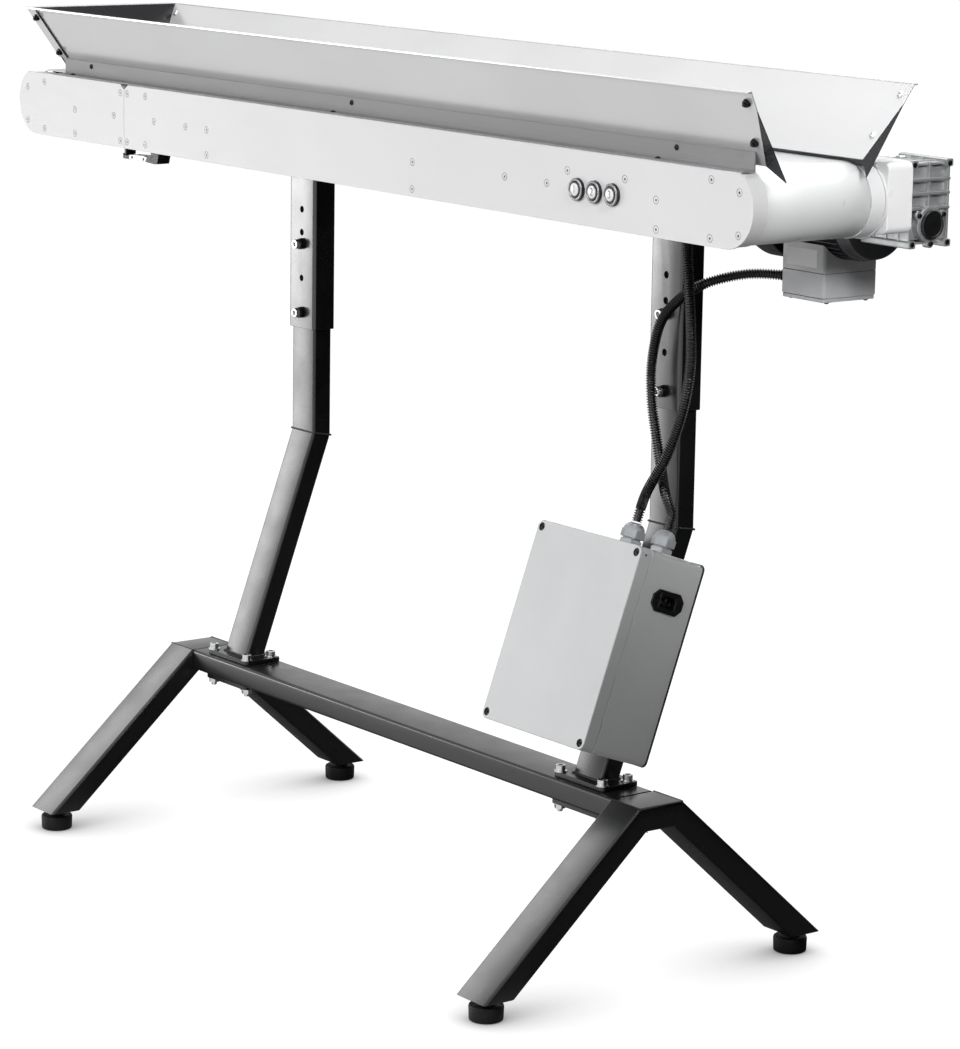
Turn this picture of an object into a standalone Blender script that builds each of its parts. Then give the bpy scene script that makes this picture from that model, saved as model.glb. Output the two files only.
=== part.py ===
"""Belt conveyor section: a small parts conveyor with a hopper on a height-adjustable stand.

Metres, +Z up, the floor at Z = 0. X runs along the belt (drive end at +X), Y across it, and the
viewer's side of the stand is -Y. The origin is under the middle of the whole object.
Run with: blender --background --python part.py
"""

import math

import bmesh
import bpy
from mathutils import Matrix, Vector

GAP = 0.0003  # what touching pieces keep between them
ROUND = 28  # segments of a full circle on the larger round pieces
SMALL_ROUND = 14  # segments on studs, pins and screws

# ---- stand ----
STAND_X = 0.0095  # middle of the stand
TRESTLE_HALF_SPACING = 0.500
STAND_TOP = 0.234
STAND_HALF_WIDTH = 0.0335  # half of the flat top of a trestle, and of the crossbeam
TRESTLE_TUBE = 0.058  # width of the trestle tube along X
LEG_THICKNESS = 0.031
LEG_ANGLE = math.radians(41.6)  # below the horizontal
LEG_END_Z = 0.028
STAND_WALL = 0.003
BEAM_HEIGHT = 0.028
STUD_TIP_CLEARANCE = 0.0014  # between the stud's rim and the wall that slopes over it
FOOT_RADIUS = 0.0215
FOOT_HEIGHT = 0.020
FOOT_NUT_RADIUS = 0.012
FOOT_STUD_RADIUS = 0.005
FOOT_STUD_TOP_Z = 0.0405  # lets the foot be screwed out 8 mm
STUD_CLEARANCE = 0.0006

# ---- posts ----
POST_SPACING = 0.792
POST_WIDTH = 0.055
POST_DEPTH = 0.0292
POST_WALL = 0.003
POST_ANGLE = math.radians(19.9)  # slope of the lower stretch, from the vertical
POST_BEND_Z = 0.548
POST_TOP_BELOW_AXIS = 0.057  # under the line of the drum's axis
BASE_PLATE_SIZE = (0.099, 0.057, 0.006)
BASE_PLATE_Y = 0.003
BASE_BOLTS = (0.0415, 0.020)  # half spacings along X and Y
BASE_BOLT_RADIUS = 0.004
NUT_RADIUS = 0.0075
NUT_HEIGHT = 0.0065
SLEEVE_WALL = 0.003
SLEEVE_CLEARANCE = 0.0004
SLEEVE_LENGTH = 0.317
SLEEVE_ABOVE_AXIS = 0.023
HOLE_PITCH = 0.032
TOP_HOLE_BELOW_AXIS = 0.128
OPEN_HOLES = (0, 1, 3)  # in pitches below the top hole
CLAMP_SCREWS = (1.5, 4.5)
HOLE_RADIUS = 0.0045
CLAMP_SCREW_RADIUS = 0.004

# ---- control box, in the frame of the sloping post ----
BOX_WIDTH = 0.202
BOX_HEIGHT = 0.256
BOX_BASE_DEPTH = 0.085
BOX_LID_DEPTH = 0.019
BOX_WALL = 0.003
BOX_CORNER = 0.008
BOX_STANDOFF = 0.006  # height of the pads between the box and the post
BOX_TOP_BELOW_BEND = 0.037
BOX_SHIFT_X = 0.003
GLAND_X = (0.005, 0.064)  # from the middle of the box
GLAND_DEPTH = 0.048
GLAND_RADIUS = 0.0150
GLAND_HEIGHT = 0.029
INLET_BELOW_TOP = 0.056
INLET_DEPTH = 0.048
INLET_FLANGE = (0.050, 0.027, 0.003)
INLET_BODY = (0.030, 0.022, 0.026)

# ---- conveyor ----
CONVEYOR_Y = -0.005
CONVEYOR_HALF_WIDTH = 0.101
TAIL_AXIS_X = -0.764
DRUM_AXIS_X = 0.749
AXIS_Z = 0.987
NOSE_RADIUS = 0.0465
PLATE_ABOVE_AXIS = 0.041
PLATE_THICKNESS = 0.003
FRAME_INSET = 0.0015  # the inner frame stays this far inside the plate's outline
FRAME_WIDTH = 0.0205
FRAME_WALL = 0.005
BELT_RADIUS = 0.044
BELT_THICKNESS = 0.002
BELT_SIDE_GAP = 0.0006
SPLIT_X = -0.5255
PIVOT_BELOW_TOP = 0.007
NOTCH_HALF_WIDTH = 0.010
HINGE_PIN_RADIUS = 0.003
HINGE_LUG_RADIUS = 0.0064
HINGE_LUG_WIDTH = 0.007
BED_THICKNESS = 0.003
BED_OVER_BUTTONS = 0.0058  # from the buttons' bodies up to the bed's flanges
BED_SPLIT_GAP = 0.006
BED_ROLLER_GAP = 0.012
ROLLER_SHAFT_RADIUS = 0.010
TAIL_AXLE_RADIUS = 0.008
BEARING_RADIUS = 0.019
BEARING_WIDTH = 0.012

# ---- push buttons ----
BUTTON_X = (0.483, 0.5155, 0.5485)
BUTTON_BELOW_AXIS = 0.005
BEZEL_RADIUS = 0.0135
BEZEL_HEIGHT = 0.0035
BUTTON_BODY_RADIUS = 0.0109
BUTTON_BODY_LENGTH = 0.026
BUTTON_CAP_RADIUS = 0.0095
BUTTON_PROUD = 0.0022

# ---- latch under the fold ----
LATCH_X = -0.452
LATCH_BELOW_PLATE = 0.009
LATCH_WIDTH = 0.016
LATCH_ARM = 0.005
CATCH_X = -0.528
CATCH_THICKNESS = 0.0045
CATCH_DROP = 0.0090
HOOK_GAP = 0.0012
HOOK_REACH = 0.0015
LATCH_PIN_RADIUS = 0.0025

# ---- drive ----
INPUT_NECK_RADIUS = 0.027
INPUT_NECK_LENGTH = 0.006
BLOCK_SIZE = (0.090, 0.039, 0.083)
BLOCK_ABOVE_AXIS = 0.003
BLOCK_CORNER = 0.010
GEARBOX_SIZE = (0.081, 0.066, 0.101)
GEARBOX_BELOW_AXIS = 0.0065
CENTRE_DISTANCE = 0.0305
WHEEL_RADIUS = 0.021
WORM_RADIUS = 0.0088
GEAR_CLEARANCE = 0.0005
CAP_RADIUS = 0.018
CAP_HEIGHT = 0.006
MOTOR_RADIUS = 0.055
MOTOR_WALL = 0.006
MOTOR_FLANGE_RADIUS = 0.051
MOTOR_FLANGE_THICKNESS = 0.012
MOTOR_LENGTH = 0.130
MOTOR_SHAFT_RADIUS = 0.0055
ROTOR_RADIUS = 0.034
COWL_RADIUS = 0.064
COWL_LENGTH = 0.045
COWL_WALL = 0.002
FAN_RADIUS = 0.050
TERMINAL_SIZE = (0.076, 0.084, 0.065)
TERMINAL_BOTTOM_Z = 0.852
TERMINAL_X = 0.6200
TERMINAL_LID = 0.034
TERMINAL_WALL = 0.003

# ---- hopper ----
HOPPER_HEIGHT = 0.085
HOPPER_OVER_BELT = 0.0045
HOPPER_INSIDE_BELT = 0.0051  # from the belt's edge in to the foot of the wall
HOPPER_FLARE = 0.049
HOPPER_LEFT_X = -0.7445
HOPPER_RIGHT_X = 0.8103
HOPPER_END_SLOPE = 0.33  # metres along X for each metre of depth
HOPPER_LIP_X = 0.8025
HOPPER_LIP_DROP = 0.0179
SHEET = 0.0015
HEM = 0.006
END_FLANGE = 0.016
RAIL_OVER_BELT = 0.0195
RAIL_LEFT_X = -0.7105
RAIL_RIGHT_X = 0.7755
RAIL_SHEET = 0.002
SEAM_OVERLAP = 0.0005  # how far welded sheets run into each other

# ---- conduits ----
CONDUIT_RADIUS = 0.0065

LEFT_X = STAND_X - TRESTLE_HALF_SPACING
RIGHT_X = STAND_X + TRESTLE_HALF_SPACING
POST_X = {"left": STAND_X - POST_SPACING / 2, "right": STAND_X + POST_SPACING / 2}
FRONT_Y = CONVEYOR_Y - CONVEYOR_HALF_WIDTH
REAR_Y = CONVEYOR_Y + CONVEYOR_HALF_WIDTH
SLEEVE_FRONT_Y = REAR_Y + GAP
POST_FRONT_Y = SLEEVE_FRONT_Y + SLEEVE_WALL + SLEEVE_CLEARANCE
BELT_HALF_WIDTH = CONVEYOR_HALF_WIDTH - PLATE_THICKNESS - FRAME_WIDTH - GAP - BELT_SIDE_GAP
LEG_TIP_Y = STAND_HALF_WIDTH + (STAND_TOP - LEG_END_Z) / math.tan(LEG_ANGLE)
STUD_ROOM = FOOT_STUD_TOP_Z - LEG_END_Z + STAND_WALL / math.cos(LEG_ANGLE)
FOOT_Y = LEG_TIP_Y - STUD_ROOM / math.tan(LEG_ANGLE) - FOOT_STUD_RADIUS - STUD_TIP_CLEARANCE
POST_TOP_Z = AXIS_Z - POST_TOP_BELOW_AXIS
SLEEVE_TOP_Z = AXIS_Z + SLEEVE_ABOVE_AXIS
SLEEVE_BOTTOM_Z = SLEEVE_TOP_Z - SLEEVE_LENGTH
TOP_HOLE_Z = AXIS_Z - TOP_HOLE_BELOW_AXIS
PLATE_TOP = AXIS_Z + PLATE_ABOVE_AXIS
PLATE_BOTTOM = AXIS_Z - NOSE_RADIUS
PIVOT_Z = PLATE_TOP - PIVOT_BELOW_TOP
BUTTON_Z = AXIS_Z - BUTTON_BELOW_AXIS
LATCH_PIVOT = (LATCH_X, PLATE_BOTTOM - LATCH_BELOW_PLATE)
BLOCK_Z = AXIS_Z + BLOCK_ABOVE_AXIS
GEARBOX_Z = AXIS_Z - GEARBOX_BELOW_AXIS
BELT_TOP = AXIS_Z + BELT_RADIUS
HOPPER_BOTTOM_Z = BELT_TOP + HOPPER_OVER_BELT
HOPPER_TOP_Z = HOPPER_BOTTOM_Z + HOPPER_HEIGHT
HOPPER_BOTTOM_HALF = BELT_HALF_WIDTH - HOPPER_INSIDE_BELT
HOPPER_TOP_HALF = HOPPER_BOTTOM_HALF + HOPPER_FLARE
HOPPER_LIP_Z = HOPPER_BOTTOM_Z - HOPPER_LIP_DROP
RAIL_TOP_Z = BELT_TOP + RAIL_OVER_BELT
ROLLER_RADIUS = BELT_RADIUS - BELT_THICKNESS - GAP
BED_TOP = AXIS_Z + BELT_RADIUS - BELT_THICKNESS - GAP
GEARBOX_Y = REAR_Y + GAP + BLOCK_SIZE[1] + GAP + GEARBOX_SIZE[1] / 2
MOTOR_Z = AXIS_Z - CENTRE_DISTANCE
MOTOR_FACE_X = DRUM_AXIS_X - GEARBOX_SIZE[0] / 2 - INPUT_NECK_LENGTH - GAP


# ---------------------------------------------------------------- materials

def material(name, colour, roughness, metallic):
    made = bpy.data.materials.new(name)
    made.use_nodes = True
    shader = made.node_tree.nodes["Principled BSDF"]
    shader.inputs["Base Color"].default_value = (*colour, 1.0)
    shader.inputs["Roughness"].default_value = roughness
    shader.inputs["Metallic"].default_value = metallic
    made.diffuse_color = (*colour, 1.0)
    return made


def make_materials():
    looks = {
        "black_powder_coat": ((0.012, 0.012, 0.014), 0.42, 0.0),
        "black_rubber": ((0.010, 0.010, 0.010), 0.75, 0.0),
        "zinc_steel": ((0.55, 0.55, 0.56), 0.32, 1.0),
        "satin_plate": ((0.80, 0.80, 0.82), 0.35, 0.6),
        "frame_aluminium": ((0.74, 0.75, 0.76), 0.38, 0.8),
        "hopper_stainless": ((0.56, 0.57, 0.58), 0.22, 1.0),
        "belt_grey": ((0.62, 0.64, 0.64), 0.35, 0.0),
        "cast_aluminium": ((0.66, 0.67, 0.68), 0.5, 0.9),
        "motor_grey": ((0.07, 0.07, 0.075), 0.5, 0.2),
        "terminal_grey": ((0.33, 0.34, 0.35), 0.45, 0.1),
        "box_grey": ((0.64, 0.65, 0.65), 0.45, 0.0),
        "gland_grey": ((0.42, 0.44, 0.46), 0.45, 0.0),
        "black_plastic": ((0.015, 0.015, 0.016), 0.4, 0.0),
        "button_white": ((0.85, 0.85, 0.85), 0.3, 0.0),
        "board_green": ((0.02, 0.16, 0.06), 0.5, 0.0),
        "bronze": ((0.50, 0.31, 0.12), 0.35, 1.0),
    }
    return {name: material(name, *values) for name, values in looks.items()}


# ---------------------------------------------------------------- shapes

def clear_scene():
    for old in list(bpy.data.objects):
        bpy.data.objects.remove(old, do_unlink=True)


def finish(name, bm, look, origin=(0.0, 0.0, 0.0), turn=None):
    """A bmesh in world places as an object with its origin at the given point, turned about it."""
    bmesh.ops.recalc_face_normals(bm, faces=bm.faces)
    if turn is None:
        bmesh.ops.translate(bm, vec=-Vector(origin), verts=bm.verts)
    mesh = bpy.data.meshes.new(name)
    bm.to_mesh(mesh)
    bm.free()
    obj = bpy.data.objects.new(name, mesh)
    obj.location = origin
    if turn is not None:
        obj.rotation_euler = turn
    if look is not None:
        mesh.materials.append(look)
    bpy.context.scene.collection.objects.link(obj)
    return obj


def add_prism(bm, outline, axis, low, high):
    """A straight prism of a closed outline. Its plane is YZ, XZ or XY, for axis X, Y or Z."""
    place = {
        "X": lambda p, t: (t, p[0], p[1]),
        "Y": lambda p, t: (p[0], t, p[1]),
        "Z": lambda p, t: (p[0], p[1], t),
    }[axis]
    starts = [bm.verts.new(place(p, low)) for p in outline]
    ends = [bm.verts.new(place(p, high)) for p in outline]
    bm.faces.new(starts)
    bm.faces.new(list(reversed(ends)))
    count = len(outline)
    for i in range(count):
        j = (i + 1) % count
        bm.faces.new((starts[i], ends[i], ends[j], starts[j]))


def add_box(bm, low, high):
    outline = [(low[0], low[1]), (high[0], low[1]), (high[0], high[1]), (low[0], high[1])]
    add_prism(bm, outline, "Z", low[2], high[2])


def axis_matrix(axis, centre):
    """Takes the Z axis to the named one, at a centre."""
    turn = {
        "X": Matrix.Rotation(math.radians(90), 4, "Y"),
        "Y": Matrix.Rotation(math.radians(-90), 4, "X"),
        "Z": Matrix.Identity(4),
    }[axis]
    return Matrix.Translation(centre) @ turn


def add_lathe(bm, profile, axis, centre, segments):
    """A profile of (distance along the axis, radius) turned round it. Radius 0 closes an end."""
    to_world = axis_matrix(axis, Vector(centre))
    rings = []
    for along, radius in profile:
        if radius == 0.0:
            rings.append([bm.verts.new(to_world @ Vector((0.0, 0.0, along)))])
            continue
        ring = []
        for k in range(segments):
            angle = 2 * math.pi * k / segments
            point = Vector((radius * math.cos(angle), radius * math.sin(angle), along))
            ring.append(bm.verts.new(to_world @ point))
        rings.append(ring)
    closed = len(rings[0]) > 1
    pairs = list(zip(rings, rings[1:]))
    if closed:
        pairs.append((rings[-1], rings[0]))
    for first, second in pairs:
        for k in range(segments):
            n = (k + 1) % segments
            corners = [first[k % len(first)], first[n % len(first)]]
            corners += [second[n % len(second)], second[k % len(second)]]
            bm.faces.new(list(dict.fromkeys(corners)))


def add_cylinder(bm, axis, centre, radius, low, high, segments):
    add_lathe(bm, [(low, 0.0), (low, radius), (high, radius), (high, 0.0)], axis, centre, segments)


def rounded(half_x, half_y, radius, steps=3, centre=(0.0, 0.0)):
    """A rectangle with round corners."""
    points = []
    for corner, (sx, sy) in enumerate(((1, 1), (-1, 1), (-1, -1), (1, -1))):
        for k in range(steps + 1):
            angle = math.pi / 2 * (corner + k / steps)
            x = sx * (half_x - radius) + radius * math.cos(angle)
            y = sy * (half_y - radius) + radius * math.sin(angle)
            points.append((centre[0] + x, centre[1] + y))
    return points


def cutter(name, bm):
    """A hidden tool for a Boolean."""
    obj = finish(name + "_tool", bm, None)
    obj.hide_render = True
    obj.display_type = "WIRE"
    return obj


def boolean(obj, tool, operation):
    made = obj.modifiers.new(operation.lower(), "BOOLEAN")
    made.object = tool
    made.operation = operation
    made.solver = "EXACT"


def cut(obj, bm):
    boolean(obj, cutter(obj.name + "_cut", bm), "DIFFERENCE")


def weld(obj, bm):
    boolean(obj, cutter(obj.name + "_add", bm), "UNION")


def smooth(obj, angle=35.0):
    obj.data.shade_smooth()
    obj.data.set_sharp_from_angle(angle=math.radians(angle))


# ---------------------------------------------------------------- stand

def trestle_outline(inset):
    """The inverted V of a trestle in YZ, and with an inset the space inside its tube."""
    half_turn = math.tan(LEG_ANGLE / 2)
    end_z = LEG_END_Z + inset

    def leg_y(depth):
        run = (STAND_TOP - depth * math.cos(LEG_ANGLE) - end_z) / math.tan(LEG_ANGLE)
        return STAND_HALF_WIDTH - depth * math.sin(LEG_ANGLE) + run

    inner = LEG_THICKNESS - inset
    right = [
        (STAND_HALF_WIDTH - inset * half_turn, STAND_TOP - inset),
        (leg_y(inset), end_z),
        (leg_y(inner), end_z),
        (STAND_HALF_WIDTH - inner * half_turn, STAND_TOP - inner),
    ]
    return right + [(-y, z) for y, z in reversed(right)]


def make_trestle(name, x, look):
    bm = bmesh.new()
    half = TRESTLE_TUBE / 2
    add_prism(bm, trestle_outline(0.0), "X", x - half, x + half)
    obj = finish(name, bm, look)
    inside = bmesh.new()
    add_prism(inside, trestle_outline(STAND_WALL), "X", x - half + STAND_WALL, x + half - STAND_WALL)
    cut(obj, inside)
    holes = bmesh.new()
    radius = FOOT_STUD_RADIUS + STUD_CLEARANCE
    for side in (-1, 1):
        low, high = LEG_END_Z - STAND_WALL, LEG_END_Z + 2 * STAND_WALL
        add_cylinder(holes, "Z", (x, side * FOOT_Y, 0.0), radius, low, high, SMALL_ROUND)
    cut(obj, holes)


def make_foot(name, x, y, look):
    bm = bmesh.new()
    nut_top = LEG_END_Z - GAP
    profile = [
        (0.0, 0.0),
        (0.0, FOOT_RADIUS - 0.002),
        (0.002, FOOT_RADIUS),
        (FOOT_HEIGHT - 0.002, FOOT_RADIUS),
        (FOOT_HEIGHT, FOOT_RADIUS - 0.002),
        (FOOT_HEIGHT, FOOT_NUT_RADIUS),
        (nut_top, FOOT_NUT_RADIUS),
        (nut_top, FOOT_STUD_RADIUS),
        (FOOT_STUD_TOP_Z, FOOT_STUD_RADIUS),
        (FOOT_STUD_TOP_Z, 0.0),
    ]
    add_lathe(bm, profile, "Z", (x, y, 0.0), ROUND)
    smooth(finish(name, bm, look, (x, y, 0.0)))


def bolt_places(x):
    return [(x + i * BASE_BOLTS[0], j * BASE_BOLTS[1]) for i in (-1, 1) for j in (-1, 1)]


def bolt_holes(low, high):
    """Cutters for the base bolts of both posts, between two heights."""
    bm = bmesh.new()
    radius = BASE_BOLT_RADIUS + STUD_CLEARANCE
    for x in POST_X.values():
        for px, py in bolt_places(x):
            add_cylinder(bm, "Z", (px, py, 0.0), radius, low, high, SMALL_ROUND)
    return bm


def make_crossbeam(look):
    bm = bmesh.new()
    low = LEFT_X + TRESTLE_TUBE / 2 + GAP
    high = RIGHT_X - TRESTLE_TUBE / 2 - GAP
    middle = (0.0, STAND_TOP - BEAM_HEIGHT / 2)
    outline = rounded(STAND_HALF_WIDTH, BEAM_HEIGHT / 2, 0.004, 2, middle)
    add_prism(bm, outline, "X", low, high)
    obj = finish("crossbeam", bm, look)
    inside = bmesh.new()
    hollow = rounded(STAND_HALF_WIDTH - STAND_WALL, BEAM_HEIGHT / 2 - STAND_WALL, 0.001, 1, middle)
    add_prism(inside, hollow, "X", low - STAND_WALL, high + STAND_WALL)
    cut(obj, inside)
    cut(obj, bolt_holes(STAND_TOP - BEAM_HEIGHT - STAND_WALL, STAND_TOP + STAND_WALL))


def make_base_clamp(name, x, look):
    """The plate under the crossbeam with the four bolts of a post's base in it."""
    bm = bmesh.new()
    top = STAND_TOP - BEAM_HEIGHT - GAP
    length, width, thick = BASE_PLATE_SIZE
    add_box(bm, (x - length / 2, -width / 2, top - thick), (x + length / 2, width / 2, top))
    obj = finish(name, bm, look)
    bolts = bmesh.new()
    base_top = STAND_TOP + GAP + thick
    for px, py in bolt_places(x):
        profile = [
            (top - thick - NUT_HEIGHT - 0.004, 0.0),
            (top - thick - NUT_HEIGHT - 0.004, BASE_BOLT_RADIUS),
            (top - thick - NUT_HEIGHT, BASE_BOLT_RADIUS),
            (top - thick - NUT_HEIGHT, NUT_RADIUS),
            (top - thick + 0.001, NUT_RADIUS),
            (top - thick + 0.001, BASE_BOLT_RADIUS),
            (base_top + GAP, BASE_BOLT_RADIUS),
            (base_top + GAP, NUT_RADIUS),
            (base_top + GAP + NUT_HEIGHT, NUT_RADIUS),
            (base_top + GAP + NUT_HEIGHT, 0.0),
        ]
        add_lathe(bolts, profile, "Z", (px, py, 0.0), 12)
    weld(obj, bolts)


def post_outline(inset, top_z, bottom_z):
    """A post in YZ: upright above its bend, then sloping to the front on its way down."""
    half_turn = math.tan(POST_ANGLE / 2)
    slope = math.tan(POST_ANGLE)
    front = (POST_FRONT_Y + inset, POST_BEND_Z - inset * half_turn)
    inner = POST_DEPTH - inset
    back = (POST_FRONT_Y + inner, POST_BEND_Z - inner * half_turn)
    return [
        (front[0], top_z),
        front,
        (front[0] - (front[1] - bottom_z) * slope, bottom_z),
        (back[0] - (back[1] - bottom_z) * slope, bottom_z),
        back,
        (back[0], top_z),
    ]


def make_lower_post(side, look):
    x = POST_X[side]
    half = POST_WIDTH / 2
    plate_low = STAND_TOP + GAP
    length, width, thick = BASE_PLATE_SIZE
    bm = bmesh.new()
    add_prism(bm, post_outline(0.0, POST_TOP_Z, plate_low + thick / 2), "X", x - half, x + half)
    obj = finish(side + "_lower_post", bm, look)
    inside = bmesh.new()
    hollow = post_outline(POST_WALL, POST_TOP_Z + POST_WALL, plate_low + thick)
    add_prism(inside, hollow, "X", x - half + POST_WALL, x + half - POST_WALL)
    cut(obj, inside)
    plate = bmesh.new()
    low = (x - length / 2, BASE_PLATE_Y - width / 2, plate_low)
    add_box(plate, low, (x + length / 2, BASE_PLATE_Y + width / 2, plate_low + thick))
    weld(obj, plate)
    cut(obj, bolt_holes(plate_low - thick, plate_low + 2 * thick))


# ---------------------------------------------------------------- control box

def box_point(x, up, out):
    """World place of a point measured from the bend of the right post's front: up its slope and out of it."""
    s, c = math.sin(POST_ANGLE), math.cos(POST_ANGLE)
    return Vector((x, POST_FRONT_Y + up * s - out * c, POST_BEND_Z + up * c + out * s))


BOX_X = POST_X["right"] + BOX_SHIFT_X
BOX_TURN = (-POST_ANGLE, 0.0, 0.0)
BOX_UP = -BOX_TOP_BELOW_BEND - BOX_HEIGHT / 2  # of the box's middle


def finish_box_piece(name, bm, look):
    """A bmesh in the box's own frame: X across, -Y out of the post, Z up the slope, from the box's middle."""
    return finish(name, bm, look, box_point(BOX_X, BOX_UP, 0.0), BOX_TURN)


def cut_box_piece(obj, bm):
    tool = finish_box_piece(obj.name + "_cut_tool", bm, None)
    tool.hide_render = True
    tool.display_type = "WIRE"
    boolean(obj, tool, "DIFFERENCE")


def gland_places():
    return [(dx, -GLAND_DEPTH) for dx in GLAND_X]


def make_control_box(looks):
    half = (BOX_WIDTH / 2, BOX_HEIGHT / 2)
    seam = BOX_STANDOFF + BOX_BASE_DEPTH
    bm = bmesh.new()
    add_prism(bm, rounded(*half, BOX_CORNER), "Y", -seam, -BOX_STANDOFF)
    base = finish_box_piece("control_box_base", bm, looks["box_grey"])
    inside = bmesh.new()
    inner = (half[0] - BOX_WALL, half[1] - BOX_WALL)
    add_prism(inside, rounded(*inner, BOX_CORNER - BOX_WALL), "Y", -seam - BOX_WALL, -BOX_STANDOFF - BOX_WALL)
    cut_box_piece(base, inside)
    holes = bmesh.new()
    for px, py in gland_places():
        low, high = half[1] - 2 * BOX_WALL, half[1] + BOX_WALL
        add_cylinder(holes, "Z", (px, py, 0.0), 0.0085, low, high, 20)
    length, width, _ = INLET_BODY
    inlet_z = half[1] - INLET_BELOW_TOP
    hole = ((half[0] - 2 * BOX_WALL, -INLET_DEPTH - length / 2 - GAP, inlet_z - width / 2 - GAP),
            (half[0] + BOX_WALL, -INLET_DEPTH + length / 2 + GAP, inlet_z + width / 2 + GAP))
    add_box(holes, *hole)
    cut_box_piece(base, holes)
    pads = bmesh.new()
    for up in (-0.08, 0.08):
        add_box(pads, (-0.020, -BOX_STANDOFF - 0.001, up - 0.015), (0.020, -GAP, up + 0.015))
    tool = finish_box_piece("control_box_pads_tool", pads, None)
    tool.hide_render = True
    tool.display_type = "WIRE"
    boolean(base, tool, "UNION")

    lid_front = seam + BOX_LID_DEPTH
    bm = bmesh.new()
    add_prism(bm, rounded(*half, BOX_CORNER), "Y", -lid_front, -seam - GAP)
    lid = finish_box_piece("control_box_lid", bm, looks["box_grey"])
    inside = bmesh.new()
    add_prism(inside, rounded(*inner, BOX_CORNER - BOX_WALL), "Y", -lid_front + BOX_WALL, -seam + BOX_WALL)
    cut_box_piece(lid, inside)

    bm = bmesh.new()
    board_y = -BOX_STANDOFF - BOX_WALL - 0.012
    add_box(bm, (-0.075, board_y - 0.0016, -0.100), (0.075, board_y, 0.070))
    board = finish_box_piece("control_board", bm, looks["board_green"])
    spacers = bmesh.new()
    for px in (-0.065, 0.065):
        for pz in (-0.090, 0.060):
            centre = (px, 0.0, pz)
            add_cylinder(spacers, "Y", centre, 0.004, board_y - 0.003, board_y + 0.012 - GAP, 12)
    tool = finish_box_piece("control_board_spacers_tool", spacers, None)
    tool.hide_render = True
    tool.display_type = "WIRE"
    boolean(board, tool, "UNION")


def make_glands(look):
    """Cable glands on top of the box: a thread through the wall, a hexagon and a domed nut."""
    wall = BOX_HEIGHT / 2
    for name, (px, py) in zip(("button_gland", "motor_gland"), gland_places()):
        bm = bmesh.new()
        bore = CONDUIT_RADIUS - 0.002
        profile = [
            (wall - BOX_WALL - 0.006, bore),
            (wall - BOX_WALL - 0.006, 0.0080),
            (wall + GAP, 0.0080),
            (wall + GAP, GLAND_RADIUS - 0.001),
            (wall + 0.006, GLAND_RADIUS - 0.001),
            (wall + 0.006, GLAND_RADIUS),
            (wall + GLAND_HEIGHT - 0.009, GLAND_RADIUS),
            (wall + GLAND_HEIGHT, 0.0105),
            (wall + GLAND_HEIGHT, bore),
        ]
        add_lathe(bm, profile, "Z", (px, py, 0.0), 20)
        smooth(finish_box_piece(name, bm, look))


def make_inlet(look):
    half = BOX_WIDTH / 2
    z = BOX_HEIGHT / 2 - INLET_BELOW_TOP
    bm = bmesh.new()
    flange_long, flange_wide, flange_thick = INLET_FLANGE
    low = (half + GAP, -INLET_DEPTH - flange_long / 2, z - flange_wide / 2)
    add_box(bm, low, (half + flange_thick, -INLET_DEPTH + flange_long / 2, z + flange_wide / 2))
    obj = finish_box_piece("power_inlet", bm, look)
    body_long, body_wide, body_deep = INLET_BODY
    body = bmesh.new()
    low = (half - body_deep, -INLET_DEPTH - body_long / 2, z - body_wide / 2)
    add_box(body, low, (half + 2 * GAP, -INLET_DEPTH + body_long / 2, z + body_wide / 2))
    tool = finish_box_piece("power_inlet_body_tool", body, None)
    tool.hide_render = True
    tool.display_type = "WIRE"
    boolean(obj, tool, "UNION")
    socket = bmesh.new()
    low = (half - body_deep + 0.006, -INLET_DEPTH - 0.012, z - 0.008)
    add_box(socket, low, (half + 2 * flange_thick, -INLET_DEPTH + 0.012, z + 0.008))
    cut_box_piece(obj, socket)


# ---------------------------------------------------------------- sleeves

def make_sleeve(side, look):
    x = POST_X[side]
    half = POST_WIDTH / 2 + SLEEVE_CLEARANCE + SLEEVE_WALL
    depth = POST_DEPTH + 2 * (SLEEVE_CLEARANCE + SLEEVE_WALL)
    middle = (x, SLEEVE_FRONT_Y + depth / 2)
    bm = bmesh.new()
    add_prism(bm, rounded(half, depth / 2, 0.004, 2, middle), "Z", SLEEVE_BOTTOM_Z, SLEEVE_TOP_Z)
    obj = finish(side + "_sleeve", bm, look)
    inside = bmesh.new()
    hollow = rounded(half - SLEEVE_WALL, depth / 2 - SLEEVE_WALL, 0.0005, 1, middle)
    add_prism(inside, hollow, "Z", SLEEVE_BOTTOM_Z - 0.01, SLEEVE_TOP_Z + 0.01)
    cut(obj, inside)
    holes = bmesh.new()
    low, high = -SLEEVE_WALL, 2 * SLEEVE_WALL
    for step in OPEN_HOLES:
        centre = (x, SLEEVE_FRONT_Y, TOP_HOLE_Z - step * HOLE_PITCH)
        add_cylinder(holes, "Y", centre, HOLE_RADIUS, low, high, SMALL_ROUND)
    for step in CLAMP_SCREWS:
        centre = (x, SLEEVE_FRONT_Y, TOP_HOLE_Z - step * HOLE_PITCH)
        radius = CLAMP_SCREW_RADIUS + STUD_CLEARANCE
        add_cylinder(holes, "Y", centre, radius, low, high, SMALL_ROUND)
    cut(obj, holes)


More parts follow.
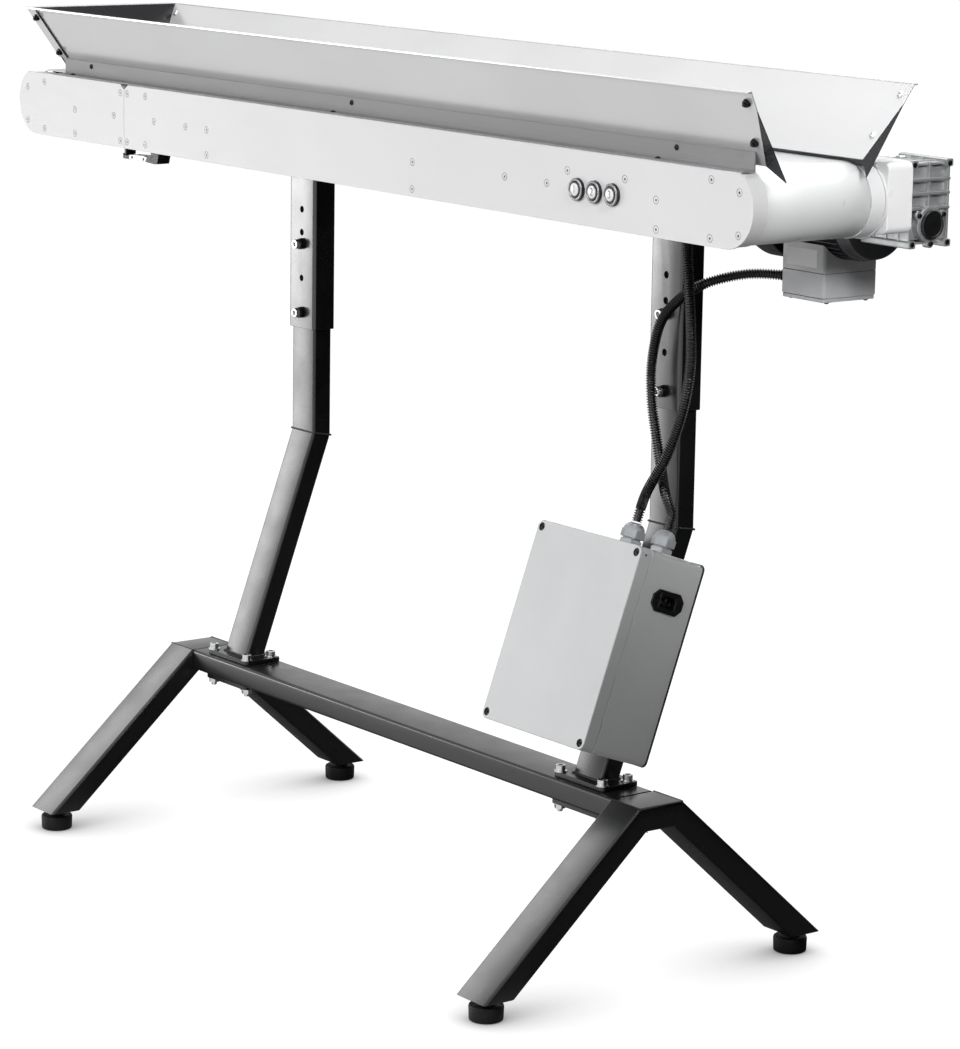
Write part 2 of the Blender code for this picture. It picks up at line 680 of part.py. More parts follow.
def make_clamp_screws(side, look):
    """Screws through the sleeve's front wall that press on the post inside."""
    for name, step in zip(("upper", "lower"), CLAMP_SCREWS):
        bm = bmesh.new()
        tip = SLEEVE_WALL + SLEEVE_CLEARANCE - GAP
        profile = [
            (-0.0125, 0.0),
            (-0.0125, 0.0062),
            (-0.0055, 0.0062),
            (-0.0055, 0.0085),
            (-GAP, 0.0085),
            (-GAP, CLAMP_SCREW_RADIUS),
            (tip, CLAMP_SCREW_RADIUS),
            (tip, 0.0),
        ]
        centre = (POST_X[side], SLEEVE_FRONT_Y, TOP_HOLE_Z - step * HOLE_PITCH)
        add_lathe(bm, profile, "Y", centre, SMALL_ROUND)
        smooth(finish(f"{side}_{name}_clamp_screw", bm, look))


# ---------------------------------------------------------------- conveyor body

def nose(axis_x, side, radius, top, steps=9):
    """The round end of a side, from its lowest point round to where the top edge cuts it."""
    last = math.asin(min(1.0, (top - AXIS_Z) / radius))
    points = []
    for k in range(steps + 1):
        angle = -math.pi / 2 + (last + math.pi / 2) * k / steps
        points.append((axis_x + side * radius * math.cos(angle), AXIS_Z + radius * math.sin(angle)))
    return points


def side_outline(axis_x, side, inset, gap=GAP):
    """A side cheek in XZ from the fold to a round end. side is 1 for the main part and -1 for the tail."""
    top = PLATE_TOP - inset
    start = SPLIT_X + side * gap
    notch = NOTCH_HALF_WIDTH * (top - PIVOT_Z) / (PLATE_TOP - PIVOT_Z)
    return nose(axis_x, side, NOSE_RADIUS - inset, top) + [
        (start + side * notch, top),
        (start, PIVOT_Z),
        (start, PLATE_BOTTOM + inset),
    ]


def facing(sign):
    """Y of the layers on one side of the belt, outside first: the plate's two faces and the frame's two."""
    outer = CONVEYOR_Y + sign * CONVEYOR_HALF_WIDTH
    plate_in = outer - sign * PLATE_THICKNESS
    frame_out = plate_in - sign * GAP
    return outer, plate_in, frame_out, frame_out - sign * FRAME_WIDTH


def button_bores(bm, radius):
    for x in BUTTON_X:
        centre = (x, FRONT_Y, BUTTON_Z)
        add_cylinder(bm, "Y", centre, radius, -0.005, 0.040, 20)


def make_main_sides(looks):
    for name, sign in (("front", -1), ("rear", 1)):
        outer, plate_in, frame_out, frame_in = facing(sign)
        bm = bmesh.new()
        add_prism(bm, side_outline(DRUM_AXIS_X, 1, 0.0), "Y", outer, plate_in)
        plate = finish(name + "_side_plate", bm, looks["satin_plate"])
        bm = bmesh.new()
        add_prism(bm, side_outline(DRUM_AXIS_X, 1, FRAME_INSET), "Y", frame_out, frame_in)
        frame = finish(name + "_frame", bm, looks["frame_aluminium"])
        pocket = bmesh.new()
        pocket_end = DRUM_AXIS_X - NOSE_RADIUS - 0.008
        low_z = PLATE_BOTTOM + FRAME_INSET + FRAME_WALL
        low = (SPLIT_X + 0.030, frame_out - sign * FRAME_WALL, low_z)
        high_z = PLATE_TOP - FRAME_INSET - 2 * FRAME_WALL
        add_box(pocket, low, (pocket_end, frame_in - sign * FRAME_WALL, high_z))
        cut(frame, pocket)
        bores = bmesh.new()
        reach = sorted((frame_out + sign * 0.001 - GAP * sign, frame_in - sign * 0.001))
        add_cylinder(bores, "Y", (DRUM_AXIS_X, 0.0, AXIS_Z), BEARING_RADIUS + GAP, *reach, ROUND)
        if sign < 0:
            button_bores(bores, BUTTON_BODY_RADIUS + GAP)
        cut(frame, bores)
        bores = bmesh.new()
        if sign < 0:
            button_bores(bores, BUTTON_BODY_RADIUS + GAP)
        else:
            radius = ROLLER_SHAFT_RADIUS + 0.002
            add_cylinder(bores, "Y", (DRUM_AXIS_X, outer, AXIS_Z), radius, -0.010, 0.010, ROUND)
        cut(plate, bores)
        lug_in = frame_in
        lug_out = frame_in + sign * HINGE_LUG_WIDTH
        lug = bmesh.new()
        low, high = sorted((lug_in, lug_out))
        add_cylinder(lug, "Y", (SPLIT_X, 0.0, PIVOT_Z), HINGE_LUG_RADIUS, low, high, 20)
        bar = [(SPLIT_X, PIVOT_Z - HINGE_LUG_RADIUS), (SPLIT_X + 0.024, PIVOT_Z - HINGE_LUG_RADIUS)]
        bar += [(SPLIT_X + 0.024, PIVOT_Z + 0.003), (SPLIT_X, PIVOT_Z + 0.003)]
        low, high = sorted((lug_in - sign * GAP / 2, lug_out - sign * GAP / 2))
        arm = bmesh.new()
        add_prism(arm, bar, "Y", low, high)
        weld(frame, lug)
        boolean(frame, cutter(frame.name + "_arm", arm), "UNION")
        pin = bmesh.new()
        low, high = sorted((lug_in + sign * 0.002, plate_in - sign * 0.002))
        add_cylinder(pin, "Y", (SPLIT_X, 0.0, PIVOT_Z), HINGE_PIN_RADIUS, low, high, 12)
        boolean(frame, cutter(frame.name + "_pin", pin), "UNION")
        if sign < 0:
            make_latch_bracket(frame, frame_out)


def latch_y(frame_out):
    low = frame_out + 0.0015
    return low, low + LATCH_WIDTH


def make_latch_bracket(frame, frame_out):
    """Two cheeks under the front frame with the latch's pin between them."""
    low_y, high_y = latch_y(frame_out)
    px, pz = LATCH_PIVOT
    top = PLATE_BOTTOM + FRAME_INSET + 0.001
    bm = bmesh.new()
    for low, high in ((low_y - 0.0013, low_y - GAP), (high_y + GAP, high_y + 0.0025)):
        outline = [(px - 0.012, top), (px - 0.006, pz - 0.006), (px + 0.006, pz - 0.006), (px + 0.012, top)]
        add_prism(bm, outline, "Y", low, high)
    boolean(frame, cutter("latch_cheeks", bm), "UNION")
    pin = bmesh.new()
    add_cylinder(pin, "Y", (px, 0.0, pz), LATCH_PIN_RADIUS, low_y - 0.0009, high_y + 0.002, 12)
    boolean(frame, cutter("latch_pin", pin), "UNION")


def make_bed(name, low_x, high_x, look):
    """A sheet under the belt's upper run, with a flange down each side."""
    half = BELT_HALF_WIDTH + BELT_SIDE_GAP - GAP
    y0, y1 = CONVEYOR_Y - half, CONVEYOR_Y + half
    under = BED_TOP - BED_THICKNESS
    foot = BUTTON_Z + BUTTON_BODY_RADIUS + BED_OVER_BUTTONS
    outline = [
        (y0, BED_TOP),
        (y1, BED_TOP),
        (y1, foot),
        (y1 - BED_THICKNESS, foot),
        (y1 - BED_THICKNESS, under),
        (y0 + BED_THICKNESS, under),
        (y0 + BED_THICKNESS, foot),
        (y0, foot),
    ]
    bm = bmesh.new()
    add_prism(bm, outline, "X", low_x, high_x)
    return finish(name, bm, look)


def make_belt(look):
    """One closed loop of belt round the drum and the tail roller."""
    def loop(radius, steps=ROUND // 2):
        points = []
        for k in range(steps + 1):
            angle = -math.pi / 2 + math.pi * k / steps
            points.append((DRUM_AXIS_X + radius * math.cos(angle), AXIS_Z + radius * math.sin(angle)))
        for k in range(steps + 1):
            angle = math.pi / 2 + math.pi * k / steps
            points.append((TAIL_AXIS_X + radius * math.cos(angle), AXIS_Z + radius * math.sin(angle)))
        return points

    y0, y1 = CONVEYOR_Y - BELT_HALF_WIDTH, CONVEYOR_Y + BELT_HALF_WIDTH
    bm = bmesh.new()
    rings = []
    for radius, y in ((BELT_RADIUS, y0), (BELT_RADIUS, y1), (BELT_RADIUS - BELT_THICKNESS, y1),
                      (BELT_RADIUS - BELT_THICKNESS, y0)):
        rings.append([bm.verts.new((x, y, z)) for x, z in loop(radius)])
    count = len(rings[0])
    for i in range(4):
        first, second = rings[i], rings[(i + 1) % 4]
        for k in range(count):
            n = (k + 1) % count
            bm.faces.new((first[k], first[n], second[n], second[k]))
    smooth(finish("belt", bm, look))


def make_drum(looks):
    """The driven drum with its shaft, which runs on through the gearbox, and its two bearings."""
    half = BELT_HALF_WIDTH - 0.001
    axis = (DRUM_AXIS_X, CONVEYOR_Y, AXIS_Z)
    frame_span = BELT_HALF_WIDTH + BELT_SIDE_GAP
    near = -frame_span - FRAME_WIDTH + 0.004
    far = GEARBOX_Y - CONVEYOR_Y + GEARBOX_SIZE[1] / 2 - 0.002
    profile = [
        (near, 0.0),
        (near, ROLLER_SHAFT_RADIUS),
        (-half, ROLLER_SHAFT_RADIUS),
        (-half, ROLLER_RADIUS),
        (half, ROLLER_RADIUS),
        (half, ROLLER_SHAFT_RADIUS),
        (far, ROLLER_SHAFT_RADIUS),
        (far, 0.0),
    ]
    bm = bmesh.new()
    add_lathe(bm, profile, "Y", axis, ROUND)
    smooth(finish("drive_drum", bm, looks["zinc_steel"], axis))
    for name, sign in (("front", -1), ("rear", 1)):
        inner = CONVEYOR_Y + sign * (frame_span + GAP)
        low, high = sorted((inner, inner + sign * BEARING_WIDTH))
        bm = bmesh.new()
        bore = ROLLER_SHAFT_RADIUS + GAP
        profile = [(low, bore), (low, BEARING_RADIUS), (high, BEARING_RADIUS), (high, bore)]
        add_lathe(bm, profile, "Y", (DRUM_AXIS_X, 0.0, AXIS_Z), ROUND)
        smooth(finish(name + "_drum_bearing", bm, looks["zinc_steel"]))
    bm = bmesh.new()
    bore = ROLLER_SHAFT_RADIUS + GAP
    half = 0.011
    profile = [(-half, bore), (-half, WHEEL_RADIUS), (half, WHEEL_RADIUS), (half, bore)]
    centre = (DRUM_AXIS_X, GEARBOX_Y, AXIS_Z)
    add_lathe(bm, profile, "Y", centre, ROUND)
    smooth(finish("worm_wheel", bm, looks["bronze"], centre))


# ---------------------------------------------------------------- folding tail

def make_tail(looks):
    pivot = (SPLIT_X, CONVEYOR_Y, PIVOT_Z)
    for name, sign in (("front", -1), ("rear", 1)):
        outer, plate_in, frame_out, frame_in = facing(sign)
        low, high = sorted((outer, frame_in))
        bm = bmesh.new()
        add_prism(bm, side_outline(TAIL_AXIS_X, -1, 0.0), "Y", low, high)
        cheek = finish(f"tail_{name}_cheek", bm, looks["satin_plate"], pivot)
        pocket = bmesh.new()
        low, high = sorted((plate_in - sign * FRAME_WALL, frame_in - sign * FRAME_WALL))
        low_x = TAIL_AXIS_X + NOSE_RADIUS + 0.005
        add_box(pocket, (low_x, low, PLATE_BOTTOM + 2 * FRAME_WALL),
                (SPLIT_X - 0.030, high, PLATE_TOP - 3 * FRAME_WALL))
        cut(cheek, pocket)
        lug_room = bmesh.new()
        low, high = sorted((frame_in + sign * (HINGE_LUG_WIDTH + 0.0008), frame_in - sign * 0.01))
        add_cylinder(lug_room, "Y", (SPLIT_X, 0.0, PIVOT_Z), HINGE_LUG_RADIUS + 0.001, low, high, 20)
        cut(cheek, lug_room)
        bores = bmesh.new()
        low, high = sorted((plate_in + sign * 0.0015 - sign * 0.003, frame_in - sign * 0.01))
        add_cylinder(bores, "Y", (SPLIT_X, 0.0, PIVOT_Z), HINGE_PIN_RADIUS + GAP, low, high, 12)
        add_cylinder(bores, "Y", (TAIL_AXIS_X, 0.0, AXIS_Z), TAIL_AXLE_RADIUS + GAP, low, high, 20)
        cut(cheek, bores)
        if sign < 0:
            catch = bmesh.new()
            low_y, high_y = latch_y(frame_out)
            low = (CATCH_X - CATCH_THICKNESS, low_y, PLATE_BOTTOM - CATCH_DROP)
            add_box(catch, low, (CATCH_X, high_y, PLATE_BOTTOM + 0.002))
            weld(cheek, catch)
    low_x = TAIL_AXIS_X + BELT_RADIUS + BED_ROLLER_GAP
    bed = make_bed("tail_bed", low_x, SPLIT_X - BED_SPLIT_GAP, looks["frame_aluminium"])
    bed.data.transform(Matrix.Translation(-Vector(pivot)))
    bed.location = pivot

    half = BELT_HALF_WIDTH - 0.001
    axis = (TAIL_AXIS_X, CONVEYOR_Y, AXIS_Z)
    bore = TAIL_AXLE_RADIUS + GAP
    bm = bmesh.new()
    profile = [(-half, bore), (-half, ROLLER_RADIUS), (half, ROLLER_RADIUS), (half, bore)]
    add_lathe(bm, profile, "Y", axis, ROUND)
    smooth(finish("tail_roller", bm, looks["zinc_steel"], axis))
    reach = BELT_HALF_WIDTH + BELT_SIDE_GAP + FRAME_WIDTH - 0.002
    bm = bmesh.new()
    add_cylinder(bm, "Y", axis, TAIL_AXLE_RADIUS, -reach, reach, 20)
    smooth(finish("tail_axle", bm, looks["zinc_steel"], axis))


def make_latch(look):
    """The latch's arm and hook: pivoted at its far end, hooked round the catch on the tail."""
    px, pz = LATCH_PIVOT
    low_y, high_y = latch_y(facing(-1)[2])
    catch_foot = PLATE_BOTTOM - CATCH_DROP
    arm_top = catch_foot - 0.0008
    hook_x = CATCH_X - CATCH_THICKNESS - HOOK_GAP
    outline = [
        (hook_x - 0.003, arm_top - LATCH_ARM),
        (px - 0.030, arm_top - LATCH_ARM),
        (px - 0.004, pz - 0.0070),
        (px + 0.006, pz - 0.0060),
        (px + 0.008, pz),
        (px + 0.004, pz + 0.0065),
        (px - 0.006, pz + 0.0060),
        (px - 0.030, arm_top + 0.004),
        (CATCH_X + 0.006, arm_top + 0.002),
        (CATCH_X + 0.003, arm_top),
        (hook_x, arm_top),
        (hook_x, catch_foot + HOOK_REACH),
        (hook_x - 0.003, catch_foot + HOOK_REACH),
    ]
    bm = bmesh.new()
    add_prism(bm, outline, "Y", low_y, high_y)
    obj = finish("latch_lever", bm, look, (px, (low_y + high_y) / 2, pz))
    bore = bmesh.new()
    add_cylinder(bore, "Y", (px, 0.0, pz), LATCH_PIN_RADIUS + GAP, low_y - 0.01, high_y + 0.01, 12)
    cut(obj, bore)


# ---------------------------------------------------------------- push buttons

def make_buttons(looks):
    for number, x in enumerate(BUTTON_X, start=1):
        centre = (x, FRONT_Y, BUTTON_Z)
        bore = BUTTON_CAP_RADIUS + GAP
        bm = bmesh.new()
        profile = [
            (-BEZEL_HEIGHT, bore),
            (-BEZEL_HEIGHT, BEZEL_RADIUS - 0.001),
            (-BEZEL_HEIGHT + 0.001, BEZEL_RADIUS),
            (-GAP, BEZEL_RADIUS),
            (-GAP, BUTTON_BODY_RADIUS),
            (BUTTON_BODY_LENGTH, BUTTON_BODY_RADIUS),
            (BUTTON_BODY_LENGTH, bore),
        ]
        add_lathe(bm, profile, "Y", centre, 24)
        smooth(finish(f"button_bezel_{number}", bm, looks["zinc_steel"]))
        bm = bmesh.new()
        front = -BEZEL_HEIGHT - BUTTON_PROUD
        profile = [
            (front, 0.0),
            (front, BUTTON_CAP_RADIUS - 0.0008),
            (front + 0.0008, BUTTON_CAP_RADIUS),
            (0.014, BUTTON_CAP_RADIUS),
            (0.014, 0.0),
        ]
        add_lathe(bm, profile, "Y", centre, 24)
        smooth(finish(f"push_button_{number}", bm, looks["button_white"], centre))


# ---------------------------------------------------------------- drive

def make_drive_block(looks):
    size_x, size_y, size_z = BLOCK_SIZE
    low_y = REAR_Y + GAP
    bm = bmesh.new()
    outline = rounded(size_x / 2, size_z / 2, BLOCK_CORNER, 4, (DRUM_AXIS_X, BLOCK_Z))
    add_prism(bm, outline, "Y", low_y, low_y + size_y)
    block = finish("drive_block", bm, looks["satin_plate"])
    bore = bmesh.new()
    centre = (DRUM_AXIS_X, low_y, AXIS_Z)
    add_cylinder(bore, "Y", centre, ROLLER_SHAFT_RADIUS + 0.002, -0.01, size_y + 0.01, ROUND)
    cut(block, bore)

    size_x, size_y, size_z = GEARBOX_SIZE
    bm = bmesh.new()
    outline = rounded(size_x / 2, size_z / 2, 0.009, 3, (DRUM_AXIS_X, GEARBOX_Z))
    add_prism(bm, outline, "Y", GEARBOX_Y - size_y / 2, GEARBOX_Y + size_y / 2)
    housing = finish("gearbox_housing", bm, looks["cast_aluminium"])
    output = (DRUM_AXIS_X, GEARBOX_Y, AXIS_Z)
    centre = (DRUM_AXIS_X, GEARBOX_Y, MOTOR_Z)
    rooms = (
        ("Y", output, WHEEL_RADIUS + 0.0015, -0.013, 0.013, ROUND),
        ("X", centre, WORM_RADIUS + 0.001, -0.022, 0.022, 18),
        ("Y", output, ROLLER_SHAFT_RADIUS + GAP, -size_y, size_y, 26),
        ("X", centre, MOTOR_SHAFT_RADIUS + GAP, -size_x, size_x / 2 - 0.006, 22),
    )
    for axis, at, radius, low, high, segments in rooms:
        room = bmesh.new()
        add_cylinder(room, axis, at, radius, low, high, segments)
        cut(housing, room)
    cap = bmesh.new()
    face = size_x / 2
    profile = [
        (face - 0.002, 0.0),
        (face - 0.002, CAP_RADIUS),
        (face + CAP_HEIGHT - 0.002, CAP_RADIUS),
        (face + CAP_HEIGHT, CAP_RADIUS - 0.002),
        (face + CAP_HEIGHT, 0.0),
    ]
    add_lathe(cap, profile, "X", centre, 24)
    weld(housing, cap)
    neck = bmesh.new()
    low = -size_x / 2 - INPUT_NECK_LENGTH
    add_lathe(neck, [
        (low, MOTOR_SHAFT_RADIUS + GAP),
        (low, INPUT_NECK_RADIUS),
        (-size_x / 2 + 0.002, INPUT_NECK_RADIUS),
        (-size_x / 2 + 0.002, MOTOR_SHAFT_RADIUS + GAP),
    ], "X", centre, 20)
    boolean(housing, cutter("gearbox_neck", neck), "UNION")


def make_motor(looks):
    """Motor, fan and worm on one axis along X, away from the gearbox towards the tail."""
    centre = (MOTOR_FACE_X, GEARBOX_Y, MOTOR_Z)
    back = -MOTOR_FLANGE_THICKNESS - MOTOR_LENGTH
    inner = MOTOR_RADIUS - MOTOR_WALL
    bearing = MOTOR_SHAFT_RADIUS + GAP
    profile = [
        (0.0, bearing),
        (back, bearing),
        (back, MOTOR_RADIUS - 0.010),
        (back + 0.008, MOTOR_RADIUS),
        (-MOTOR_FLANGE_THICKNESS - 0.003, MOTOR_RADIUS),
        (-MOTOR_FLANGE_THICKNESS, MOTOR_FLANGE_RADIUS),
        (0.0, MOTOR_FLANGE_RADIUS),
    ]
    bm = bmesh.new()
    add_lathe(bm, profile, "X", centre, ROUND)
    housing = finish("motor_housing", bm, looks["motor_grey"])
    smooth(housing)
    space = bmesh.new()
    add_cylinder(space, "X", centre, inner, back + 0.008, -MOTOR_FLANGE_THICKNESS, ROUND)
    cut(housing, space)

    cowl_front = back + 0.010
    cowl_back = cowl_front - COWL_LENGTH
    bm = bmesh.new()
    profile = [
        (cowl_front, MOTOR_RADIUS + GAP),
        (cowl_front, COWL_RADIUS),
        (cowl_back + 0.006, COWL_RADIUS),
        (cowl_back, COWL_RADIUS - 0.006),
        (cowl_back, 0.030),
        (cowl_back + COWL_WALL, 0.030),
        (cowl_back + COWL_WALL, COWL_RADIUS - COWL_WALL - 0.006),
        (cowl_back + 0.008, COWL_RADIUS - COWL_WALL),
        (cowl_front - COWL_WALL, COWL_RADIUS - COWL_WALL),
        (cowl_front - COWL_WALL, MOTOR_RADIUS + GAP),
    ]
    add_lathe(bm, profile, "X", centre, ROUND)
    smooth(finish("fan_cowl", bm, looks["motor_grey"]))

    bm = bmesh.new()
    rotor_back, rotor_front = back + 0.020, -MOTOR_FLANGE_THICKNESS - 0.012
    shaft_back = back - 0.022
    shaft_front = INPUT_NECK_LENGTH + GEARBOX_SIZE[0] - 0.010
    profile = [
        (shaft_back, 0.0),
        (shaft_back, MOTOR_SHAFT_RADIUS),
        (rotor_back, MOTOR_SHAFT_RADIUS),
        (rotor_back, ROTOR_RADIUS),
        (rotor_front, ROTOR_RADIUS),
        (rotor_front, MOTOR_SHAFT_RADIUS),
        (shaft_front, MOTOR_SHAFT_RADIUS),
        (shaft_front, 0.0),
    ]
    add_lathe(bm, profile, "X", centre, 20)
    smooth(finish("motor_rotor", bm, looks["zinc_steel"], centre))

    middle = INPUT_NECK_LENGTH + GEARBOX_SIZE[0] / 2 + GAP
    bm = bmesh.new()
    half_worm = 0.019
    low, high = middle - half_worm, middle + half_worm
    profile = [(low, bearing), (low, WORM_RADIUS), (high, WORM_RADIUS), (high, bearing)]
    add_lathe(bm, profile, "X", centre, 20)
    smooth(finish("worm", bm, looks["zinc_steel"], centre))

    hub_front = back - 0.004
    hub_back = shaft_back - 0.001
    bm = bmesh.new()
    profile = [(hub_back, bearing), (hub_back, 0.014), (hub_front, 0.014), (hub_front, bearing)]
    add_lathe(bm, profile, "X", centre, 20)
    fan = finish("cooling_fan", bm, looks["black_plastic"], centre)
    blades = bmesh.new()
    for k in range(6):
        turn = Matrix.Rotation(2 * math.pi * k / 6, 3, "X")
        low = (hub_back + 0.001, -0.001, 0.010)
        high = (hub_front - 0.001, 0.001, FAN_RADIUS)
        before = set(blades.verts)
        add_box(blades, low, high)
        made = [v for v in blades.verts if v not in before]
        bmesh.ops.transform(blades, matrix=turn.to_4x4(), verts=made)
    bmesh.ops.translate(blades, vec=Vector(centre), verts=blades.verts)
    weld(fan, blades)


def make_terminal_box(looks):
    """The box under the motor where its wires are joined: body, lid below it, and the conduit's gland."""
    size_x, size_y, size_z = TERMINAL_SIZE
    half_x, half_y = size_x / 2, size_y / 2
    bottom = TERMINAL_BOTTOM_Z
    seam = bottom + TERMINAL_LID
    top = bottom + size_z
    middle = (TERMINAL_X, GEARBOX_Y)
    inner = (half_x - TERMINAL_WALL, half_y - TERMINAL_WALL)
    bm = bmesh.new()
    add_prism(bm, rounded(half_x, half_y, 0.004, 2, middle), "Z", seam + GAP, top + 0.012)
    body = finish("terminal_box", bm, looks["terminal_grey"])
    saddle = bmesh.new()
    centre = (TERMINAL_X, GEARBOX_Y, MOTOR_Z)
    add_cylinder(saddle, "X", centre, MOTOR_RADIUS + GAP, -half_x - 0.01, half_x + 0.01, 56)
    cut(body, saddle)
    space = bmesh.new()
    roof = MOTOR_Z - MOTOR_RADIUS - TERMINAL_WALL
    add_prism(space, rounded(*inner, 0.002, 1, middle), "Z", seam - 0.01, roof)
    cut(body, space)
    bm = bmesh.new()
    add_prism(bm, rounded(half_x, half_y, 0.004, 2, middle), "Z", bottom, seam)
    lid = finish("terminal_box_lid", bm, looks["terminal_grey"])
    space = bmesh.new()
    add_prism(space, rounded(*inner, 0.002, 1, middle), "Z", bottom + TERMINAL_WALL, seam + 0.01)
    cut(lid, space)
    hole = bmesh.new()
    gland_z = bottom + TERMINAL_LID / 2
    add_cylinder(hole, "X", (TERMINAL_X - half_x, GEARBOX_Y, gland_z), 0.0085, -0.01, 0.01, 20)
    cut(lid, hole)
    bm = bmesh.new()
    bore = CONDUIT_RADIUS - 0.002
    profile = [
        (0.006, bore),
        (0.006, 0.0080),
        (-GAP, 0.0080),
        (-GAP, 0.0115),
        (-0.010, 0.0115),
        (-0.016, 0.0085),
        (-0.016, bore),
    ]
    add_lathe(bm, profile, "X", (TERMINAL_X - half_x, GEARBOX_Y, gland_z), 20)
    smooth(finish("terminal_gland", bm, looks["gland_grey"]))


# ---------------------------------------------------------------- hopper

def wall_half(z):
    """Half of the hopper's width inside, at a height."""
    share = (z - HOPPER_BOTTOM_Z) / (HOPPER_TOP_Z - HOPPER_BOTTOM_Z)
    return HOPPER_BOTTOM_HALF + share * (HOPPER_TOP_HALF - HOPPER_BOTTOM_HALF)


def left_end(z):
    return HOPPER_LEFT_X + (HOPPER_TOP_Z - z) * HOPPER_END_SLOPE


def right_end(z):
    return HOPPER_RIGHT_X - (HOPPER_TOP_Z - z) * HOPPER_END_SLOPE


def add_sheet(bm, corners, outward, thickness):
    """A flat sheet: a polygon in space, thickened to one side."""
    shift = Vector(outward).normalized() * thickness
    near = [bm.verts.new(Vector(c)) for c in corners]
    far = [bm.verts.new(Vector(c) + shift) for c in corners]
    bm.faces.new(near)
    bm.faces.new(list(reversed(far)))
    count = len(corners)
    for i in range(count):
        j = (i + 1) % count
        bm.faces.new((near[i], far[i], far[j], near[j]))


def make_hopper(look):
    lean = math.atan2(HOPPER_TOP_HALF - HOPPER_BOTTOM_HALF, HOPPER_TOP_Z - HOPPER_BOTTOM_Z)
    top, bottom = HOPPER_TOP_Z, HOPPER_BOTTOM_Z
    origin = (0.0, CONVEYOR_Y, PLATE_TOP)
    for name, sign in (("front", -1), ("rear", 1)):
        def spot(x, z, out=0.0):
            return (x, CONVEYOR_Y + sign * (wall_half(z) + out), z)

        outward = (0.0, sign * math.cos(lean), -math.sin(lean))
        lip_z = bottom + (HOPPER_TOP_Z - bottom) * 0.75
        corners = [
            spot(left_end(top), top),
            spot(right_end(top), top),
            spot(right_end(top) - 0.001, lip_z),
            spot(HOPPER_LIP_X, HOPPER_LIP_Z),
            spot(right_end(bottom), bottom),
            spot(left_end(bottom), bottom),
        ]
        bm = bmesh.new()
        add_sheet(bm, corners, outward, SHEET)
        wall = finish(f"hopper_{name}_wall", bm, look, origin)
        hem = bmesh.new()
        y0 = CONVEYOR_Y + sign * (HOPPER_TOP_HALF - 0.0002)
        y1 = y0 + sign * HEM
        low, high = sorted((y0, y1))
        add_box(hem, (left_end(top), low, top - 0.0012), (right_end(top), high, top + 0.0008))
        weld(wall, hem)
        rail = bmesh.new()
        inner_half = wall_half(RAIL_TOP_Z) + SHEET / math.cos(lean) - SEAM_OVERLAP
        inner = CONVEYOR_Y + sign * inner_half
        outer = CONVEYOR_Y + sign * (inner_half + RAIL_SHEET)
        edge = CONVEYOR_Y + sign * (CONVEYOR_HALF_WIDTH - 0.001)
        foot = PLATE_TOP + GAP
        outline = [
            (inner, foot),
            (edge, foot),
            (edge, foot + RAIL_SHEET),
            (outer, foot + RAIL_SHEET),
            (outer, RAIL_TOP_Z),
            (inner, RAIL_TOP_Z),
        ]
        add_prism(rail, outline, "X", RAIL_LEFT_X, RAIL_RIGHT_X)
        boolean(wall, cutter(wall.name + "_rail", rail), "UNION")

    def end_point(z, y_half, out=0.0):
        return (left_end(z) - out, CONVEYOR_Y + y_half, z)

    end_lean = math.atan(HOPPER_END_SLOPE)
    outward = (-math.cos(end_lean), 0.0, -math.sin(end_lean))
    gap = 2 * GAP
    outer_half = SHEET / math.cos(lean) + gap
    corners = [
        end_point(top, -wall_half(top) - outer_half, gap),
        end_point(top, wall_half(top) + outer_half, gap),
        end_point(bottom, wall_half(bottom) + outer_half, gap),
        end_point(bottom, -wall_half(bottom) - outer_half, gap),
    ]
    bm = bmesh.new()
    add_sheet(bm, corners, outward, SHEET)
    end = finish("hopper_end_wall", bm, look, origin)
    hem = bmesh.new()
    high_x = left_end(top) - gap - 0.0002
    half = HOPPER_TOP_HALF + outer_half
    add_box(hem, (high_x - 0.020, CONVEYOR_Y - half, top - 0.0012), (high_x, CONVEYOR_Y + half, top + 0.0008))
    weld(end, hem)
    for sign in (-1, 1):
        flange = bmesh.new()
        high, low = top - 0.0015, RAIL_TOP_Z + 0.002

        def place(z, along):
            half = wall_half(z) + outer_half
            return (left_end(z) + along, CONVEYOR_Y + sign * half, z)

        corners = [place(high, -0.004), place(high, END_FLANGE), place(low, END_FLANGE), place(low, -0.004)]
        outward = (0.0, sign * math.cos(lean), -math.sin(lean))
        add_sheet(flange, corners, outward, SHEET)
        boolean(end, cutter(f"hopper_end_flange_{sign + 1}", flange), "UNION")


# ---------------------------------------------------------------- conduits

def smooth_route(points, spacing):
    """Evenly spaced points on a smooth curve through the route's points, with its two ends left straight."""
    fine = []
    for a, b, c, d in zip(points, points[1:], points[2:], points[3:]):
        for k in range(24):
            t = k / 24
            fine.append(0.5 * ((2 * b) + (c - a) * t + (2 * a - 5 * b + 4 * c - d) * t * t
                               + (3 * b - a - 3 * c + d) * t ** 3))
    fine.append(points[-2])
    lengths = [0.0]
    for first, second in zip(fine, fine[1:]):
        lengths.append(lengths[-1] + (second - first).length)
    count = max(2, round(lengths[-1] / spacing))
    made = []
    at = 0
    for k in range(count + 1):
        want = lengths[-1] * k / count
        while at < len(lengths) - 2 and lengths[at + 1] < want:
            at += 1
        span = lengths[at + 1] - lengths[at]
        made.append(fine[at].lerp(fine[at + 1], (want - lengths[at]) / span if span else 0.0))
    return [points[0]] + made + [points[-1]]


